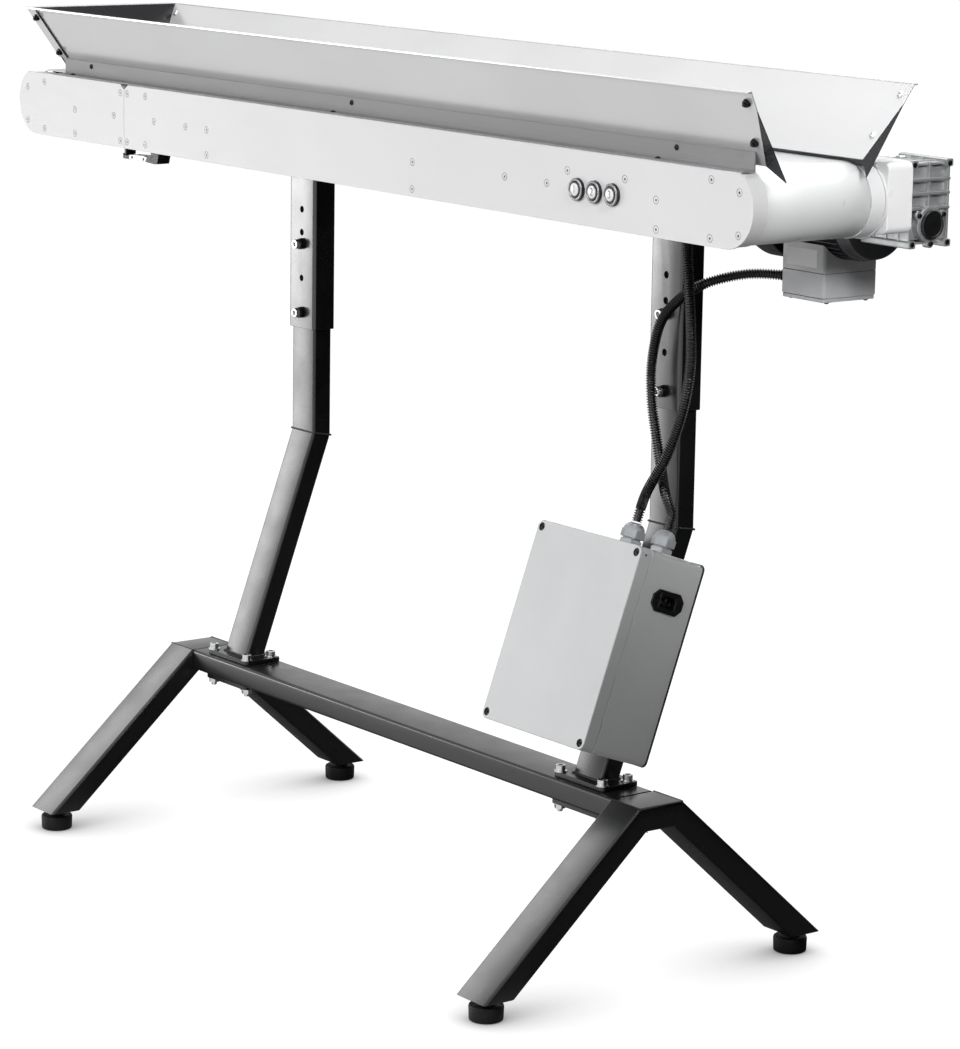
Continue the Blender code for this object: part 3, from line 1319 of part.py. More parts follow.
def make_conduit(name, points, look):
    route = smooth_route(points, 2.2 * CONDUIT_RADIUS * 2)
    curve = bpy.data.curves.new(name, "CURVE")
    curve.dimensions = "3D"
    curve.bevel_depth = CONDUIT_RADIUS
    curve.bevel_resolution = 2
    curve.use_fill_caps = True
    spline = curve.splines.new("POLY")
    spline.points.add(len(route) - 1)
    for point, spot in zip(spline.points, route):
        point.co = (*spot, 1.0)
    obj = bpy.data.objects.new(name, curve)
    curve.materials.append(look)
    bpy.context.scene.collection.objects.link(obj)


def gland_mouth(dx):
    """Where a conduit starts: just above the nut of a gland on the control box."""
    return box_point(BOX_X + dx, BOX_UP + BOX_HEIGHT / 2 + GLAND_HEIGHT + 3 * GAP, GLAND_DEPTH)


def make_conduits(look):
    up = Vector((0.0, math.sin(POST_ANGLE), math.cos(POST_ANGLE)))
    start = gland_mouth(GLAND_X[0])
    entry = Vector((0.4575, REAR_Y - 0.012, PLATE_BOTTOM + FRAME_INSET - 3 * GAP))
    make_conduit("button_conduit", [
        start,
        start + up * 0.018,
        Vector((0.4440, 0.044, 0.604)),
        Vector((0.4730, 0.048, 0.649)),
        Vector((0.4970, 0.051, 0.7075)),
        Vector((0.5045, 0.055, 0.761)),
        Vector((0.4935, 0.062, 0.823)),
        Vector((0.4720, 0.074, 0.882)),
        entry - Vector((0.0, 0.0, 0.020)),
        entry,
    ], look)
    start = gland_mouth(GLAND_X[1])
    mouth = Vector((TERMINAL_X - TERMINAL_SIZE[0] / 2 - 0.016 - GAP, GEARBOX_Y,
                    TERMINAL_BOTTOM_Z + TERMINAL_LID / 2))
    make_conduit("motor_conduit", [
        start,
        start + up * 0.018,
        Vector((0.4620, 0.056, 0.601)),
        Vector((0.4380, 0.068, 0.630)),
        Vector((0.4225, 0.072, 0.665)),
        Vector((0.4085, 0.075, 0.708)),
        Vector((0.4065, 0.076, 0.754)),
        Vector((0.4206, 0.077, 0.804)),
        Vector((0.4490, 0.084, 0.8365)),
        Vector((0.4803, 0.098, 0.8575)),
        Vector((0.5085, 0.136, 0.8690)),
        mouth - Vector((0.028, 0.0, 0.0)),
        mouth,
    ], look)


# ---------------------------------------------------------------- all of it

def main():
    clear_scene()
    looks = make_materials()
    make_crossbeam(looks["black_powder_coat"])
    for name, x in (("left_trestle", LEFT_X), ("right_trestle", RIGHT_X)):
        make_trestle(name, x, looks["black_powder_coat"])
    for end, x in (("left", LEFT_X), ("right", RIGHT_X)):
        for name, y in (("front", -FOOT_Y), ("rear", FOOT_Y)):
            make_foot(f"{end}_{name}_foot", x, y, looks["black_rubber"])
    for side, x in POST_X.items():
        make_base_clamp(side + "_base_clamp", x, looks["zinc_steel"])
        make_lower_post(side, looks["black_powder_coat"])
        make_sleeve(side, looks["black_powder_coat"])
        make_clamp_screws(side, looks["zinc_steel"])
    make_control_box(looks)
    make_glands(looks["gland_grey"])
    make_inlet(looks["black_plastic"])
    make_main_sides(looks)
    low_x = SPLIT_X + BED_SPLIT_GAP
    make_bed("slider_bed", low_x, DRUM_AXIS_X - BELT_RADIUS - BED_ROLLER_GAP, looks["frame_aluminium"])
    make_belt(looks["belt_grey"])
    make_drum(looks)
    make_tail(looks)
    make_latch(looks["zinc_steel"])
    make_buttons(looks)
    make_drive_block(looks)
    make_motor(looks)
    make_terminal_box(looks)
    make_hopper(looks["hopper_stainless"])
    make_conduits(looks["black_plastic"])


if __name__ == "__main__":
    main()
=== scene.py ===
"""Belt conveyor with a sheet-metal hopper on a height-adjustable stand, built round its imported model."""

import math

import bmesh
import bpy
from bpy.props import FloatProperty, FloatVectorProperty, IntProperty, PointerProperty
from mathutils import Matrix, Vector


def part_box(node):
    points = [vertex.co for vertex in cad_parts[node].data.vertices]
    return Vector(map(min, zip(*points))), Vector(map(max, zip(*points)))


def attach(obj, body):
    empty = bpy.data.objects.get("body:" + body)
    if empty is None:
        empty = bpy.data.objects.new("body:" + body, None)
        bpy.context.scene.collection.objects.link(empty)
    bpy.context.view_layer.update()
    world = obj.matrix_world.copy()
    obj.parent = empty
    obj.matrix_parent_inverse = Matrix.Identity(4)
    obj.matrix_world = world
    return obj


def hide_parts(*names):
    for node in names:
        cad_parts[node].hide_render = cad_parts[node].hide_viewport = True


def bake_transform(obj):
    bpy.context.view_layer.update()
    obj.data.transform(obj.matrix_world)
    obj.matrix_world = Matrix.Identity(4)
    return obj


bl_info = {
    "name": "Hopper Belt Conveyor",
    "version": (1, 0, 0),
    "blender": (4, 5, 0),
    "location": "3D View > Sidebar > Conveyor",
    "description": "Builds a belt conveyor with its hopper, drive, controls and stand",
    "category": "Add Mesh",
}

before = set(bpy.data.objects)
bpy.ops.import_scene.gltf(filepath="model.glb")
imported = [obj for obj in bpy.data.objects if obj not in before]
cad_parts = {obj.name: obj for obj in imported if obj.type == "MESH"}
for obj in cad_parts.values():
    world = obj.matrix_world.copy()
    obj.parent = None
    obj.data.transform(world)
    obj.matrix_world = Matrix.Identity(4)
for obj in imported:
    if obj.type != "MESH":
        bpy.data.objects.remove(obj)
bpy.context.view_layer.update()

MM = 0.001
GAP = 0.3 * MM  # what touching pieces keep between them
MERGE = 0.02 * MM


def centre_of(node):
    low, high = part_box(node)
    return (low + high) / 2


# ---------------------------------------------------------------- places taken from the frame

SIDES = ("left", "right")
FRONT_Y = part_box("front_side_plate")[0].y
REAR_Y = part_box("rear_side_plate")[1].y
CENTRE_Y = (FRONT_Y + REAR_Y) / 2
HALF_WIDTH = (REAR_Y - FRONT_Y) / 2
PLATE_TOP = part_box("front_side_plate")[1].z
PLATE_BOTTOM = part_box("front_side_plate")[0].z
NOSE_RADIUS = 46.5 * MM
AXIS_Z = PLATE_BOTTOM + NOSE_RADIUS
DRUM_X = centre_of("drive_drum").x
TAIL_X = centre_of("tail_axle").x
SPLIT_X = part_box("front_side_plate")[0].x - GAP
PIVOT_Z = PLATE_TOP - 7 * MM
PLATE_THICKNESS = 3 * MM
FRAME_WIDTH = 20.5 * MM
FRAME_INSET = 1.5 * MM
BUTTON_NAMES = ("push_button_1", "push_button_2", "push_button_3")
BUTTON_Z = centre_of("push_button_1").z
MOTOR_Y = centre_of("motor_rotor").y
MOTOR_Z = centre_of("motor_rotor").z
LATCH_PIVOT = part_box("latch_lever")[1] - Vector((8 * MM, 0, 6.5 * MM))
LATCH_ARM_TOP = PLATE_BOTTOM - 9.8 * MM
POST_SLOPE = math.radians(19.9)
LEG_SLOPE = math.radians(41.6)
BOX_CENTRE = Vector((centre_of("control_box_base").x, 0.0435, 0.3929))
BOX_PLACE = Matrix.Translation(BOX_CENTRE) @ Matrix.Rotation(-POST_SLOPE, 4, "X")


# ---------------------------------------------------------------- settings

class StandSettings(bpy.types.PropertyGroup):
    tube_corner: FloatProperty(
        name="Tube Corner", description="Outer corner radius of the stand's tubes",
        default=4 * MM, min=0.5 * MM, max=10 * MM, unit="LENGTH")
    weld_pitch: FloatProperty(
        name="Weld Pitch", description="Distance between the ripples of a weld bead",
        default=1.9 * MM, min=0.5 * MM, max=6 * MM, unit="LENGTH")
    paint: FloatVectorProperty(
        name="Paint", description="Colour of the powder coat, linear",
        default=(0.0065, 0.0068, 0.0075), size=3, min=0.0, max=1.0, subtype="COLOR")


class SideSettings(bpy.types.PropertyGroup):
    head_radius: FloatProperty(
        name="Screw Head", description="Radius of the countersunk heads in the side plates",
        default=4.2 * MM, min=2 * MM, max=8 * MM, unit="LENGTH")
    plate: FloatVectorProperty(
        name="Plate", description="Colour of the anodised side plates, linear",
        default=(0.76, 0.76, 0.77), size=3, min=0.0, max=1.0, subtype="COLOR")


class ConduitSettings(bpy.types.PropertyGroup):
    pitch: FloatProperty(
        name="Rib Pitch", description="Distance between the conduit's corrugations",
        default=3.2 * MM, min=1 * MM, max=8 * MM, unit="LENGTH")
    depth: FloatProperty(
        name="Rib Depth", description="How deep the corrugations are, as a share of the radius",
        default=0.30, min=0.0, max=0.5, subtype="FACTOR")


class DriveSettings(bpy.types.PropertyGroup):
    fins: IntProperty(
        name="Motor Fins", description="Cooling fins round the motor's body",
        default=40, min=8, max=90)
    grille_slots: IntProperty(
        name="Grille Slots", description="Air slots round the fan cowl's back",
        default=18, min=6, max=48)


class StageSettings(bpy.types.PropertyGroup):
    key_watts: FloatProperty(
        name="Key Light", description="Power of the large soft light high in front",
        default=84.0, min=0.0, max=1000.0, unit="POWER")
    panel_watts: FloatProperty(
        name="Low Panel", description="Power of the low panel on the left that the dark fronts mirror",
        default=56.0, min=0.0, max=1000.0, unit="POWER")
    top_watts: FloatProperty(
        name="Top Light", description="Power of the soft light overhead",
        default=70.0, min=0.0, max=1000.0, unit="POWER")
    slope_watts: FloatProperty(
        name="High Panel", description="Power of the high panel on the left that the legs mirror",
        default=60.0, min=0.0, max=1000.0, unit="POWER")
    right_watts: FloatProperty(
        name="Drive End Light", description="Power of the narrow light on the drive end",
        default=0.8, min=0.0, max=1000.0, unit="POWER")
    surround: FloatProperty(
        name="Surround", description="Brightness of the surround on matte surfaces",
        default=0.11, min=0.0, max=2.0)


# ---------------------------------------------------------------- colours and shader nodes

def linear(hex_colour):
    """An sRGB hex value as linear red, green, blue and alpha."""
    made = []
    for at in (1, 3, 5):
        value = int(hex_colour[at:at + 2], 16) / 255
        made.append(value / 12.92 if value <= 0.04045 else ((value + 0.055) / 1.055) ** 2.4)
    return (*made, 1.0)


def add_node(tree, kind, inputs=None, **settings):
    """A node with its settings, its input values, and links from any sockets given as inputs."""
    made = tree.nodes.new(kind)
    for key, value in settings.items():
        setattr(made, key, value)
    for key, value in (inputs or {}).items():
        if isinstance(value, bpy.types.NodeSocket):
            tree.links.new(value, made.inputs[key])
        else:
            made.inputs[key].default_value = value
    return made


# ---------------------------------------------------------------- finishes

OWN = None  # in a recipe, the finish's own streaks or checks in place of a noise size
MATTE_SHEEN = {"Specular IOR Level": 0.3}
METAL = {"Metallic": 1.0}

# Each recipe: name, colour, roughness, wear (noise size in mm, two roughness values), shade (size, two
# multiples of the colour), grain (size, bump strength, depth in mm). A fourth value is the noise's detail.
RECIPES = {
    # Black polyester powder coat, sprayed and baked: a satin skin with a fine orange peel.
    "powder": dict(name="Powder Coat Satin Black", colour="conveyor_stand.paint", roughness=0.28,
        sockets={"IOR": 1.5}, wear=(45, 0.25, 0.33), grain=(1.4, 0.05, 0.12, 2.0)),
    # The same black coat over smooth extruded aluminium: glossier than on the welded tubes.
    "sleeve": dict(name="Powder Coat Gloss Black", colour="conveyor_stand.paint", roughness=0.25,
        sockets={"IOR": 1.72}, wear=(45, 0.22, 0.29), grain=(1.4, 0.04, 0.1, 2.0)),
    # Black nitrile rubber from a mould: matt, a little dusty on its faces.
    "rubber": dict(name="Moulded Rubber Black", colour="#0a0a0b", roughness=0.62,
        sockets={"Specular IOR Level": 0.25}, wear=(9, 0.5, 0.72), shade=(14, 0.7, 1.7),
        grain=(0.7, 0.12, 0.1)),
    # Bright zinc on machined steel: a cool metal with faint cloudy patches.
    "zinc": dict(name="Zinc Plated Steel", colour="#c6c8ca", roughness=0.24, sockets=METAL,
        wear=(3, 0.18, 0.34), shade=(5, 0.86, 1.04)),
    # Oil-blackened steel of socket screws and latch castings: dark with a dull shine.
    "black_steel": dict(name="Blackened Steel", colour="#1a1a1b", roughness=0.38, sockets={"Metallic": 0.7},
        wear=(3, 0.3, 0.5), shade=(4, 0.7, 1.4)),
    # Clear-anodised aluminium plate with a fine bead-blasted skin: pale, soft and even.
    "plate": dict(name="Anodised Aluminium Plate", colour="conveyor_side.plate", roughness=0.5,
        sockets=MATTE_SHEEN, lines=(60, 0.9, 0.9, 2.0), wear=(OWN, 0.38, 0.47),
        shade=(260, 0.965, 1.03, 1.0), grain=(0.8, 0.03, 0.04)),
    # Bare extruded and milled aluminium: bright, with fine lines along its length.
    "bright": dict(name="Milled Aluminium", colour="#dcdddf", roughness=0.17, sockets=METAL,
        lines=(40, 0.7, 40, 3.0), wear=(OWN, 0.12, 0.24), shade=(30, 0.93, 1.03),
        grain=(OWN, 0.035, 0.06)),
    # Stainless sheet ground along its length: satin, with long hairlines that stretch reflections.
    "stainless": dict(name="Brushed Stainless Sheet", colour="#d2d2d3", roughness=0.17,
        sockets={"Metallic": 0.42}, lines=(90, 0.6, 0.6, 4.0), wear=(OWN, 0.17, 0.24),
        shade=(180, 0.96, 1.03, 1.0), grain=(OWN, 0.004, 0.02)),
    # The same sheet on the flaps and the end wall, ground coarser, its colour painted deep grey: a painted
    # dark reflection of the surround it faces.
    "stainless_painted_dark": dict(name="Brushed Stainless Shaded", colour="#3d3d3f", roughness=0.22, sockets=METAL,
        lines=(90, 0.6, 0.6, 4.0), wear=(OWN, 0.22, 0.34),
        shade=(180, 0.96, 1.03, 1.0), grain=(OWN, 0.004, 0.02)),
    # The guide strip along the belt: a non-metal mid grey painted in place of the dim reflection on its
    # stainless face, with fine scuffs along its length.
    "guide": dict(name="Polyethylene Strip Grey", colour="#868687", roughness=0.5, sockets=MATTE_SHEEN,
        lines=(70, 1.2, 1.2, 3.0), wear=(OWN, 0.42, 0.58), shade=(OWN, 0.94, 1.06)),
    # PVC-coated polyester belt with a smooth glossy food-grade face.
    "belt": dict(name="PVC Belt Light Grey", colour="#e0e2e2", roughness=0.3,
        sockets={"IOR": 1.53, "Coat Weight": 0.35, "Coat Roughness": 0.12},
        wear=(35, 0.27, 0.36), shade=(120, 0.95, 1.02, 2.0), grain=(2.2, 0.03, 0.08)),
    # Sand-blasted pressure-cast aluminium: pale grey with the mould's fine grain.
    "cast": dict(name="Cast Aluminium", colour="#b7b9ba", roughness=0.46, sockets={"Metallic": 0.75},
        wear=(4, 0.4, 0.56), shade=(12, 0.86, 1.08), grain=(0.8, 0.2, 0.12)),
    # White stoved enamel on a machined block: clean, with a soft shine.
    "enamel": dict(name="White Enamel", colour="#f0f0f1", roughness=0.3, wear=(22, 0.26, 0.36),
        shade=(40, 0.97, 1.01), grain=(1.6, 0.04, 0.08)),
    # Dark grey machine paint over a casting: slightly rough, worn paler in patches.
    "machine": dict(name="Machine Paint Dark Grey", colour="#37383b", roughness=0.42, wear=(8, 0.34, 0.52),
        shade=(18, 0.85, 1.15), grain=(1.1, 0.12, 0.1)),
    # Mid-grey paint on the die-cast terminal box: even, with a fine grain from the casting.
    "terminal": dict(name="Machine Paint Mid Grey", colour="#b0b1b3", roughness=0.4, wear=(10, 0.34, 0.48),
        shade=(25, 0.95, 1.05), grain=(0.9, 0.1, 0.08)),
    # Light grey ABS enclosure with a fine spark-eroded texture from its mould.
    "abs": dict(name="Moulded ABS Light Grey", colour="#d6d7d8", roughness=0.5, sockets=MATTE_SHEEN,
        wear=(30, 0.4, 0.5), shade=(70, 0.97, 1.02, 2.0), grain=(0.8, 0.06, 0.07)),
    # Mid-grey moulded polyamide of the cable glands: waxy and even.
    "gland": dict(name="Moulded Polyamide Grey", colour="#a8abae", roughness=0.42, wear=(6, 0.36, 0.5),
        shade=(9, 0.93, 1.05)),
    # Black polyamide of the conduits and the inlet: a soft plastic shine.
    "black": dict(name="Moulded Polyamide Black", colour="#101011", roughness=0.34, wear=(7, 0.28, 0.42),
        shade=(12, 0.8, 1.6)),
    # Turned stainless of the push buttons' rings, with rings left by the tool.
    "bezel": dict(name="Turned Stainless", colour="#7d7e80", roughness=0.2, sockets=METAL,
        wear=(1.2, 0.15, 0.3)),
    # White translucent acrylic cap of a lit push button, unlit: smooth and glossy.
    "cap": dict(name="Acrylic White", colour="#f2f2f1", roughness=0.22, sockets={"IOR": 1.49},
        wear=(5, 0.18, 0.28)),
    # Dark grey pad-printed ink of the numbers and rings: flat and dull.
    "ink": dict(name="Printed Ink Grey", colour="#2a2b2d", roughness=0.5, wear=(1, 0.42, 0.6)),
    # Green solder mask on glass-epoxy with paler track lines.
    "board": dict(name="Solder Mask Green", colour="#0f4a28", roughness=0.4, checks=120.0,
        shade=(OWN, 0.8, 1.5)),
    # Turned tin bronze of the worm wheel: a warm metal, slightly clouded.
    "bronze": dict(name="Tin Bronze", colour="#b07a3e", roughness=0.3, sockets=METAL, wear=(2, 0.24, 0.38),
        shade=(6, 0.85, 1.1)),
}
FINISHES = {}


def make_finish(name, colour, roughness, sockets=None, lines=None, checks=None, **patterns):
    """A material from its recipe. A colour without a # names a setting of the scene."""
    if colour.startswith("#"):
        base = linear(colour)
    else:
        group, setting = colour.split(".")
        base = (*getattr(getattr(bpy.context.scene, group), setting), 1.0)
    material = bpy.data.materials.new(name)
    material.use_nodes = True
    material.diffuse_color = base
    tree = material.node_tree
    shader = tree.nodes["Principled BSDF"]
    for key, value in {"Base Color": base, "Roughness": roughness, **(sockets or {})}.items():
        shader.inputs[key].default_value = value
    place = add_node(tree, "ShaderNodeTexCoord").outputs["Object"]
    if lines:
        *sizes, detail = lines
        scale = [1 / (size * MM) for size in sizes]
        along = add_node(tree, "ShaderNodeMapping", {"Vector": place, "Scale": scale}).outputs[0]
        own = add_node(tree, "ShaderNodeTexNoise", {"Vector": along, "Scale": 1.0, "Detail": detail})
    if checks:
        own = add_node(tree, "ShaderNodeTexBrick", {"Vector": place, "Scale": checks})
    for kind, (size, first, second, *detail) in patterns.items():
        if size is OWN:
            factor = own.outputs["Fac"]
        else:
            values = {"Vector": place, "Scale": 1.0 / (size * MM), "Detail": detail[0] if detail else 3.0}
            factor = add_node(tree, "ShaderNodeTexNoise", values).outputs["Fac"]
        if kind == "grain":
            values = {"Height": factor, "Strength": first, "Distance": second * MM}
            skin = add_node(tree, "ShaderNodeBump", values)
            tree.links.new(skin.outputs["Normal"], shader.inputs["Normal"])
            continue
        low, high = (first, second) if kind == "wear" else (0.0, 1.0)
        values = {"Value": factor, "From Min": 0.3, "From Max": 0.7, "To Min": low, "To Max": high}
        ranged = add_node(tree, "ShaderNodeMapRange", values).outputs["Result"]
        if kind == "wear":
            tree.links.new(ranged, shader.inputs["Roughness"])
            continue
        dark, pale = [(*(min(1.0, c * share) for c in base[:3]), 1.0) for share in (first, second)]
        mixed = add_node(tree, "ShaderNodeMix", {"Factor": ranged, 6: dark, 7: pale}, data_type="RGBA")
        tree.links.new(mixed.outputs[2], shader.inputs["Base Color"])
    return material


def look(name):
    """The material of a finish, made the first time it is asked for."""
    if name not in FINISHES:
        FINISHES[name] = make_finish(**RECIPES[name])
    return FINISHES[name]


# ---------------------------------------------------------------- mesh shapes

def outline_rounded(half_x, half_y, radius, steps=6, centre=(0.0, 0.0)):
    """A rectangle with round corners, anticlockwise."""
    points = []
    for corner in range(4):
        cx = (half_x - radius) * (1 if corner in (0, 3) else -1)
        cy = (half_y - radius) * (1 if corner in (0, 1) else -1)
        for k in range(steps + 1):
            angle = math.pi / 2 * (corner + k / steps)
            points.append((centre[0] + cx + radius * math.cos(angle),
                centre[1] + cy + radius * math.sin(angle)))
    return points


def outline_round(radius, count, centre=(0.0, 0.0), turn=0.0):
    angles = [turn + 2 * math.pi * k / count for k in range(count)]
    return [(centre[0] + radius * math.cos(a), centre[1] + radius * math.sin(a)) for a in angles]


PLANES = {"X": lambda a, b, c: (c, a, b), "Y": lambda a, b, c: (a, c, b), "Z": lambda a, b, c: (a, b, c)}


def add_rings(bm, rings, mark=0):
    """A solid through a row of rings of points, closed at both ends."""
    rings = [[bm.verts.new(spot) for spot in ring] for ring in rings]
    count = len(rings[0])
    faces = [bm.faces.new(rings[0]), bm.faces.new(rings[-1])]
    for first, second in zip(rings, rings[1:]):
        for i in range(count):
            j = (i + 1) % count
            faces.append(bm.faces.new((first[i], first[j], second[j], second[i])))
    for face in faces:
        face.material_index = mark


def add_steps(bm, axis, levels, mark=0):
    """A solid through like outlines at rising places along an axis."""
    place = PLANES[axis]
    add_rings(bm, [[place(a, b, along) for a, b in outline] for outline, along in levels], mark)


def add_prism(bm, outline, axis, low, high, mark=0):
    """A closed prism of an outline, given in the axis's own plane, between two heights on the axis."""
    add_steps(bm, axis, ((outline, low), (outline, high)), mark)


def add_box(bm, low, high, mark=0):
    outline = [(low[0], low[1]), (high[0], low[1]), (high[0], high[1]), (low[0], high[1])]
    add_prism(bm, outline, "Z", low[2], high[2], mark)


def add_turned(bm, profile, axis, centre, segments=48, mark=0):
    """A turned solid: (place on the axis, radius) pairs, closed on the axis where a radius is 0."""
    place = PLANES[axis]
    centre = Vector(centre)
    rings = []
    for along, radius in profile:
        if radius == 0:
            rings.append([bm.verts.new(Vector(place(0, 0, along)) + centre)])
            continue
        spots = outline_round(radius, segments)
        rings.append([bm.verts.new(Vector(place(a, b, along)) + centre) for a, b in spots])
    closed = profile[0][1] > 0 or profile[-1][1] > 0
    pairs = list(zip(rings, rings[1:] + rings[:1] if closed else rings[1:]))
    for first, second in pairs:
        if len(first) == 1 and len(second) == 1:
            continue
        for i in range(segments):
            j = (i + 1) % segments
            near = (first[i % len(first)], first[j % len(first)])
            far = (second[j % len(second)], second[i % len(second)])
            unique = list(dict.fromkeys(near + far))
            if len(unique) > 2:
                bm.faces.new(unique).material_index = mark


def add_rod(bm, low, high, radius, axis, centre, segments, mark=0):
    """A plain round rod between two places along an axis."""
    add_turned(bm, [(low, 0.0), (low, radius), (high, radius), (high, 0.0)], axis, centre, segments, mark)


def add_tube(bm, x, path, half_width, half_depth, corner):
    """A rectangular tube along a path of (y, z), mitred at each bend and cut level at its ends."""
    section = outline_rounded(half_width, half_depth, corner, 4)
    points = [Vector(p) for p in path]
    runs = [(b - a).normalized() for a, b in zip(points, points[1:])]
    rings = []
    for k, point in enumerate(points):
        before, after = runs[max(k - 1, 0)], runs[min(k, len(runs) - 1)]
        first, second = Vector((before.y, -before.x)), Vector((after.y, -after.x))
        across = (first + second) / (1 + first.dot(second))
        if k in (0, len(points) - 1):
            across = across - after * (across.y / after.y)
        rings.append([(x + u, point.x + v * across.x, point.y + v * across.y) for u, v in section])
    add_rings(bm, rings)


def add_sheet(bm, corners, outward, thickness, mark=0):
    """A flat sheet: a polygon in space, thickened to one side."""
    shift = Vector(outward).normalized() * thickness
    near = [Vector(corner) for corner in corners]
    add_rings(bm, [near, [corner + shift for corner in near]], mark)


def add_socket_screw(bm, axis, foot, height, radius, way=1, mark=0):
    """A cap screw's round head with a hexagon socket, standing on a face at foot."""
    top = way * height
    deep = way * height * 0.45
    socket = radius * 0.52
    add_turned(bm, [(0.0, radius * 0.99), (top - way * 0.6 * MM, radius), (top, radius - 0.6 * MM),
        (top, socket), (deep, socket)], axis, foot, 30, mark)
    place = PLANES[axis]
    hexagon = outline_round(socket * 1.02, 6)
    add_rings(bm, [[Vector(place(a, b, along)) + Vector(foot) for a, b in hexagon]
        for along in (deep + way * 0.2 * MM, 0.0)], mark)


def object_from(name, bm, finishes, sharp=35.0):
    """A mesh object at the origin from a bmesh, merged, facing out, and smooth up to an angle."""
    bmesh.ops.remove_doubles(bm, verts=bm.verts, dist=MERGE)
    bmesh.ops.recalc_face_normals(bm, faces=bm.faces)
    mesh = bpy.data.meshes.new(name)
    bm.to_mesh(mesh)
    bm.free()
    for finish in finishes:
        mesh.materials.append(look(finish))
    mesh.shade_smooth()
    mesh.set_sharp_from_angle(angle=math.radians(sharp))
    made = bpy.data.objects.new(name, mesh)
    bpy.context.scene.collection.objects.link(made)
    return made


def settled(made, body, stands_for=()):
    """Gives a finished piece to its body, with the CAD nodes that it stands for."""
    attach(made, body)
    if stands_for:
        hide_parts(*stands_for)
    return made


def eased(made, width, segments=2, angle=40.0):
    """Small rounds on the edges of a piece."""
    bevel = made.modifiers.new("Eased Edges", "BEVEL")
    bevel.width = width
    bevel.segments = segments
    bevel.limit_method = "ANGLE"
    bevel.angle_limit = math.radians(angle)
    bevel.harden_normals = True
    return made


def piece(name, bm, finishes, body, stands_for=(), ease=(), sharp=35.0, place=None):
    """A finished piece from its shape: moved to its place, its edges eased, and given to its body."""
    made = object_from(name, bm, finishes, sharp)
    if place:
        made.data.transform(place)
    if ease:
        eased(made, *ease)
    return settled(made, body, stands_for)


def evaluated_mesh(made):
    graph = bpy.context.evaluated_depsgraph_get()
    graph.update()
    return bpy.data.meshes.new_from_object(made.evaluated_get(graph), depsgraph=graph)


def remade(made, sharp=35.0):
    """Replaces a piece's mesh by its evaluated one, and drops its modifiers."""
    mesh = evaluated_mesh(made)
    made.modifiers.clear()
    old = made.data
    made.data = mesh
    bpy.data.meshes.remove(old)
    mesh.name = made.name
    mesh.shade_smooth()
    mesh.set_sharp_from_angle(angle=math.radians(sharp))
    return made


def cut_from(made, tool_bm):
    """Cuts a tool's shape out of a piece."""
    tool = object_from(made.name + "_tool", tool_bm, ())
    cut = made.modifiers.new("Cut", "BOOLEAN")
    cut.operation = "DIFFERENCE"
    cut.solver = "EXACT"
    cut.object = tool
    remade(made)
    bpy.data.objects.remove(tool)
    return made


# ---------------------------------------------------------------- geometry nodes

def new_group(name, sizes):
    """A geometry node group with a geometry input and output and one named input for each size."""
    group = bpy.data.node_groups.new(name, "GeometryNodeTree")
    group.interface.new_socket("Geometry", in_out="INPUT", socket_type="NodeSocketGeometry")
    for label, kind, default in sizes:
        socket = group.interface.new_socket(label, in_out="INPUT", socket_type=kind)
        if default is not None:
            socket.default_value = default
    group.interface.new_socket("Geometry", in_out="OUTPUT", socket_type="NodeSocketGeometry")
    source = group.nodes.new("NodeGroupInput")
    sink = group.nodes.new("NodeGroupOutput")
    return group, source, sink


def closing(group, source, sink, instances):
    """Ends a group: instances made real, their finish set, and the result sent out."""
    real = add_node(group, "GeometryNodeRealizeInstances", {"Geometry": instances})
    painted = add_node(group, "GeometryNodeSetMaterial", {"Geometry": real.outputs[0],
        "Material": source.outputs["Finish"]})
    group.links.new(painted.outputs[0], sink.inputs["Geometry"])
    return group


def fastener_group():
    """Puts a copy of a fastener on each point, standing along the point's axis, each turned by chance."""
    group, source, sink = new_group("Fasteners", (
        ("Fastener", "NodeSocketObject", None),
        ("Size", "NodeSocketFloat", 1.0),
        ("Seed", "NodeSocketInt", 3),
        ("Finish", "NodeSocketMaterial", None),
    ))
    axis = add_node(group, "GeometryNodeInputNamedAttribute", {"Name": "axis"}, data_type="FLOAT_VECTOR")
    stand = add_node(group, "FunctionNodeAlignRotationToVector", {"Vector": axis.outputs["Attribute"]},
        axis="Z")
    chance = add_node(group, "FunctionNodeRandomValue", {"Min": (0.0, 0.0, 0.0),
        "Max": (0.0, 0.0, math.tau), "Seed": source.outputs["Seed"]}, data_type="FLOAT_VECTOR")
    turned = add_node(group, "FunctionNodeRotateRotation", {"Rotation": stand.outputs[0],
        "Rotate By": chance.outputs["Value"]}, rotation_space="LOCAL")
    shape = add_node(group, "GeometryNodeObjectInfo", {"Object": source.outputs["Fastener"]})
    size = add_node(group, "ShaderNodeCombineXYZ", {"X": source.outputs["Size"],
        "Y": source.outputs["Size"], "Z": source.outputs["Size"]})
    placed = add_node(group, "GeometryNodeInstanceOnPoints", {"Points": source.outputs["Geometry"],
        "Instance": shape.outputs["Geometry"], "Rotation": turned.outputs[0], "Scale": size.outputs[0]})
    return closing(group, source, sink, placed.outputs[0])


